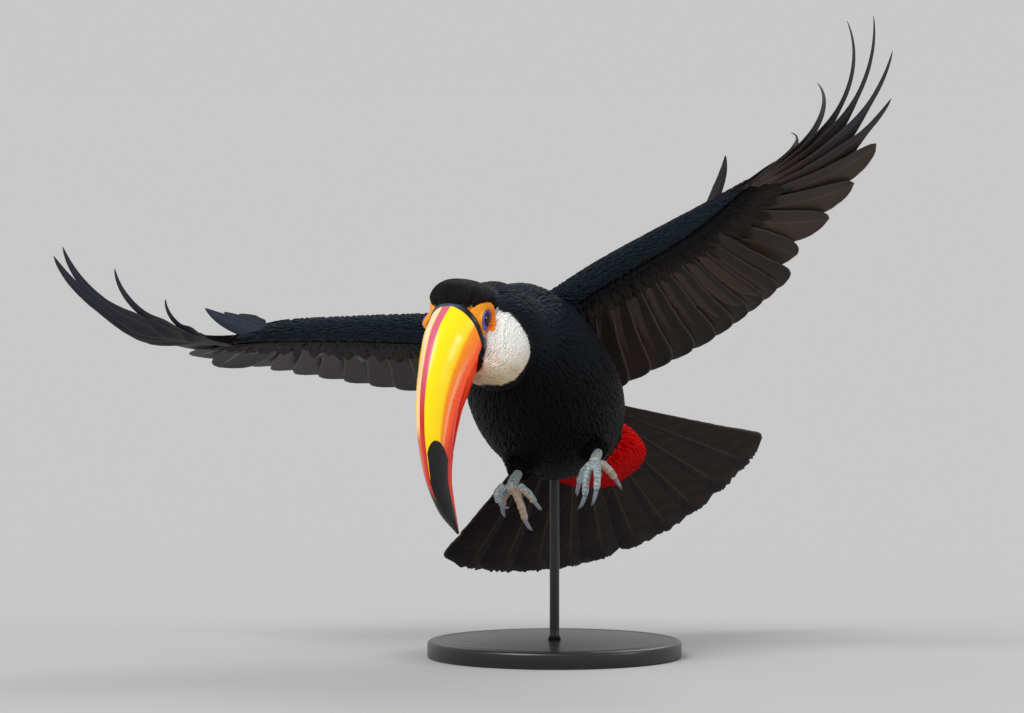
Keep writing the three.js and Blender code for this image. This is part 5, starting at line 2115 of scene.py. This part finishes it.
@dataclass(frozen=True)
class Leg:
    """Shank, four toes and four claws of one leg; each toe: root, knuckle, end and claw tip."""

    name: str
    heel: tuple
    foot: tuple
    toes: dict[str, tuple]
    thigh: tuple                # a place inside the thigh, where the shank starts
    soles: dict[str, tuple]     # where the sole faces, for toes that don't tread down
    shank_radii: tuple = (4.6, 4.3, 3.9, 4.1)
    toe_radii: tuple = (3.7, 3.1, 2.4)
    claw_radii: tuple = (2.1, 1.6, 0.45)
    palm: float = 5.2

    SHANK_SCUTES = 13
    TOE_SCUTES = 9
    GRAIN = 0.75                # of the grown skin, in millimetres

    def skin(self) -> Build:
        """Shank and toes grown together, with scutes along each.

        Round limbs and a ball at the foot are joined into one skin. Every vertex then takes the nearest
        place on the middle lines: t along a line and the share that it faces the sole. On the front a
        scute swells by 0.45 |sin(pi n t)|^0.6 mm, on the sole pads swell by 0.75 |sin(pi n t)| mm.

        Returns:
            The skin's mesh, with its grooves and soles marked.
        """
        bodies = Build()
        down = (0.0, 0.35, -1.0)
        limbs = [((self.thigh, self.heel, self.foot), self.shank_radii, self.SHANK_SCUTES, down)]
        limbs += [(points[:3], self.toe_radii, self.TOE_SCUTES, self.soles.get(toe, down))
                  for toe, points in self.toes.items()]
        t = np.linspace(0, 1, 40)
        marks = []
        for path, radii, scutes, faces in limbs:
            line = Curve(path)
            heading = line.heading(t)
            back = square_to(np.array(faces), heading)
            radius = smooth_value(radii, t) - 0.35 + 0.35 * np.sin(np.pi * t * 3) ** 2
            radius = radius * np.sqrt(np.clip(1 - np.abs(2 * t - 1) ** 16, 0.03, 1))
            bodies.tube(oval_rings(line.at(t), back, np.cross(heading, back), radius, radius, 20))
            marks.append((line.at(t), heading, back, np.full(len(t), scutes), t))
        polar = np.linspace(0.1, np.pi - 0.1, 14)
        x_axis, y_axis, z_axis = np.eye(3)[:, None] * np.ones((len(polar), 1))
        root = np.mean([points[0] for points in self.toes.values()], axis=0)
        bodies.tube(oval_rings(root + z_axis * np.cos(polar)[:, None] * self.palm, x_axis, y_axis,
                               np.sin(polar) * self.palm, np.sin(polar) * self.palm, 20))
        flesh = Flesh.joined(bodies, self.GRAIN, 2)
        stations, headings, backs, counts, shares = (np.concatenate(x) for x in zip(*marks))
        off = flesh.vertices[:, None] - stations
        near = np.linalg.norm(off, axis=2).argmin(1)
        push = (off[np.arange(len(near)), near] * headings[near]).sum(1)
        step = np.linalg.norm(np.diff(stations, axis=0), axis=1)[np.minimum(near, len(stations) - 2)]
        share = shares[near] + push / step / (len(t) - 1)
        facing = (flesh.normals * backs[near]).sum(1)
        sole = smoothstep(facing, 0.1, 0.7)
        scute = share * counts[near] - 0.3 * np.sqrt(np.clip(1 - facing**2, 0, 1))
        bulge = np.abs(np.sin(np.pi * scute)) ** 0.6
        pads = np.abs(np.sin(np.pi * share * counts[near] * 0.6))
        relief = mix(0.45 * bulge, 0.75 * pads, sole) - 0.1
        build = Build()
        build.add(flesh.vertices + flesh.normals * relief[:, None], [flesh.triangles], groove=1 - bulge,
                  sole=sole)
        return build

    def make(self) -> None:
        """The leg's skin in one piece and its claws in another."""
        claws = Build()
        for points in self.toes.values():
            _, knuckle, end, tip = (np.asarray(p, float) for p in points)
            bow = mix(end, tip, 0.5) + unit(end - knuckle) * 2
            t = np.linspace(0, 1, 26)
            line = Curve((end, bow, tip))
            heading = line.heading(t)
            across = square_to(TRUNK.left, heading)
            radius = smooth_value(self.claw_radii, t) * np.sqrt(np.clip(1 - t**8, 0.02, 1))
            rings = oval_rings(line.at(t), across, np.cross(heading, across), radius * 0.85, radius, 16)
            claws.tube(rings, along=t[:, None])
        node = f"leg_{self.name}"
        fit_out(self.skin().make(f"{node}_skin"), ScaledSkin().material(), "leg_skin", f"{node}_tarsus",
                *(f"{node}_toe_{toe}" for toe in self.toes))
        fit_out(claws.make(f"{node}_claws"), ClawFinish().material(), "claw",
                *(f"{node}_claw_{toe}" for toe in self.toes))


LEFT_LEG = Leg(
    name="left", heel=(42, -24, -47), foot=(40, -66, -53), thigh=(34, -12, -42),
    soles={"outer_back": (-0.2, -1.0, -0.4)},
    toes={
        "inner_front": ((36, -69, -55), (33, -74, -67), (32, -72, -82), (26, -70, -93)),
        "outer_front": ((41, -70, -56), (42, -78, -64), (41, -82, -77), (37, -83, -89)),
        "inner_back": ((38, -62, -56), (31, -60, -63), (27, -58, -73), (26, -60, -83)),
        "outer_back": ((44, -64, -55), (52, -60, -62), (57, -56, -69), (62, -56, -78)),
    },
)
RIGHT_LEG = Leg(
    name="right", heel=(-20, -22, -62), foot=(-28, -60, -74), thigh=(-18, -10, -52),
    soles={"inner_front": (-0.3, -1.0, -0.3), "outer_front": (-0.5, -0.5, -1.0)},
    toes={
        "inner_front": ((-24, -62, -78), (-19, -64, -92), (-16, -62, -103), (-10, -60, -111)),
        "outer_front": ((-22, -62, -74), (-14, -66, -80), (-8, -66, -88), (-3, -65, -94)),
        "inner_back": ((-30, -58, -78), (-34, -54, -84), (-35, -51, -92), (-32, -50, -101)),
        "outer_back": ((-33, -62, -74), (-39, -66, -80), (-37, -69, -88), (-29, -69, -91)),
    },
)


# ---- stand and stage
@dataclass(frozen=True)
class StandFinish:
    """Black satin: lacquered wood with a faint grain, or painted steel."""

    name: str
    wood: bool

    def material(self) -> Material:
        """Grain drawn out along X for the wood, a fine orange peel for the steel.

        Returns:
            The material.
        """
        s = Shader(self.name, Specular_IOR_Level=0.5, Coat_Weight=0.25, Coat_Roughness=0.25,
                   Metallic=0.0 if self.wood else 0.3)
        stretch = (12, 260, 260) if self.wood else (900, 900, 900)
        grain = s.noise(s.stretched(s.place(), stretch), 1.0, 4.0, 0.6)
        s.link(Base_Color=s.blend(grain, srgb(16, 15, 15), srgb(34, 31, 30)), Roughness=grain * 0.2 + 0.3)
        s.bump(grain, 0.25, 0.0003 if self.wood else 0.0001)
        return s.material


@dataclass(frozen=True)
class Stand:
    """Round base with a rounded rim, and the upright rod into the belly."""

    radius: float = 105.0
    height: float = 14.0
    edge: float = 3.0
    rod_radius: float = 4.0
    rod_top: float = 192.0

    @staticmethod
    def turned_body(radius: Array, height: Array, sides: int) -> Build:
        """A profile turned round the stand's axis.

        Args:
            radius: the profile's radii.
            height: its heights over the floor.
            sides: points on a ring.

        Returns:
            The closed body.
        """
        angle = np.linspace(0, 2 * np.pi, sides, endpoint=False)
        r, z = radius[:, None], height[:, None]
        rings = np.stack([r * np.cos(angle), r * np.sin(angle), z + 0 * angle], -1)
        build = Build()
        build.tube(rings - np.array(BIRD_CENTRE))
        return build

    def make(self) -> None:
        """Base and rod; the base's rim is a quarter round of `edge` and a bead line runs inside it."""
        q = np.linspace(0, np.pi / 2, 10)
        inside = self.radius - self.edge
        r = np.linspace(inside - 0.5, 1.0, 60)
        radii = np.concatenate([[1.0, self.radius - 1.0, self.radius], inside + self.edge * np.cos(q), r])
        heights = np.concatenate([[0.0, 0.0, 1.0], self.height - self.edge + self.edge * np.sin(q),
                                  self.height - 0.7 * hump(r - self.radius, -9, 0.9)])
        base = self.turned_body(radii, heights, 160)
        fit_out(base.make("base_turned"), StandFinish("black lacquer", True).material(), "stand_wood",
                "stand_base")
        z = np.linspace(self.height + 0.3, self.rod_top, 40)
        rod = self.turned_body(self.rod_radius + 1.6 * hump(z - self.height, 1, 2.2), z, 32)
        fit_out(rod.make("rod_upright"), StandFinish("black painted steel", False).material(), "stand_metal",
                "stand_rod")


@dataclass(frozen=True)
class Stage:
    """Plain pale floor, soft lights and the camera."""

    scale: float = 0.82         # millimetres to a picture element at the bird
    distance: float = 5000.0
    elevation: float = 3.0
    picture: tuple[int, int] = (1024, 713)
    bird_at: tuple[float, float] = (545.0, 390.0)
    floor_half: float = 60.0    # metres
    floor_colour: tuple = (0.4425, 0.4425, 0.4425, 1)
    room_light: float = 0.58

    def make(self) -> None:
        """Sets the floor, the world, the lights and the camera."""
        h = self.floor_half
        mesh = bpy.data.meshes.new("floor")
        mesh.from_pydata([(-h, -h, 0), (h, -h, 0), (h, h, 0), (-h, h, 0)], [], [(0, 1, 2, 3)])
        shader = Shader("pale floor", Base_Color=self.floor_colour, Roughness=1.0, Specular_IOR_Level=0.0)
        mesh.materials.append(shader.material)
        add_object("floor", mesh)
        world = bpy.data.worlds.new("pale room")
        world.use_nodes = True
        light = world.node_tree.nodes["Background"].inputs
        light["Color"].default_value = (1, 1, 1, 1)
        light["Strength"].default_value = self.room_light
        bpy.context.scene.world = world
        bpy.context.scene.view_settings.view_transform = "Standard"
        self.lamp("key", (-1.6, -2.0, 2.6), 2.1, 28.0)
        self.lamp("back", (1.2, 2.2, 2.4), 0.9, 28.0)
        self.lamp("fill", (3.0, -1.0, 1.0), 0.6, 16.0)
        self.camera()

    @staticmethod
    def lamp(name: str, place: tuple, power: float, spread: float) -> None:
        """A distant soft light.

        Args:
            name: its name.
            place: a place on the side that it comes from.
            power: its strength.
            spread: degrees across.
        """
        data = bpy.data.lights.new(name, "SUN")
        data.energy = power
        data.angle = np.radians(spread)
        lamp = add_object(name, data)
        lamp.location = place
        lamp.rotation_euler = (-Vector(place)).to_track_quat("-Z", "Y").to_euler()

    def camera(self) -> None:
        """A long lens whose axis passes the picture's middle, so that the bird falls at bird_at."""
        e = np.radians(self.elevation)
        look = np.array([0, np.cos(e), -np.sin(e)])
        rise = np.array([0, np.sin(e), np.cos(e)])
        wide, tall = self.picture
        right = (wide / 2 - self.bird_at[0]) * self.scale
        above = (self.bird_at[1] - tall / 2) * self.scale
        place = (np.array(BIRD_CENTRE) + np.array([right, 0, 0]) + rise * above - look * self.distance) * MM
        data = bpy.data.cameras.new("view")
        data.sensor_width = 36.0
        data.lens = 36.0 * self.distance / (wide * self.scale)
        data.clip_start = 0.1
        data.clip_end = 200.0
        cam = add_object("view", data)
        facing = Vector(look).to_track_quat("-Z", "Y")
        cam.matrix_world = Matrix.Translation(Vector(place)) @ facing.to_matrix().to_4x4()
        bpy.context.scene.camera = cam


BODY = Bodywork()


def main() -> None:
    """Builds the bird, its stand and the stage, piece by piece."""
    logging.basicConfig(level=logging.INFO, format="%(name)s: %(message)s")
    Stage().make()
    BODY.make_skin()
    BODY.make_coat()
    FacePatch().make()
    Bill().make()
    rng = np.random.default_rng(SEED + 1)
    for plan in (LEFT_WING, RIGHT_WING):
        WingFeathers(plan).make(rng)
    Tail().make(rng)
    for leg in (LEFT_LEG, RIGHT_LEG):
        leg.make()
    Stand().make()


if __name__ == "__main__":
    main()
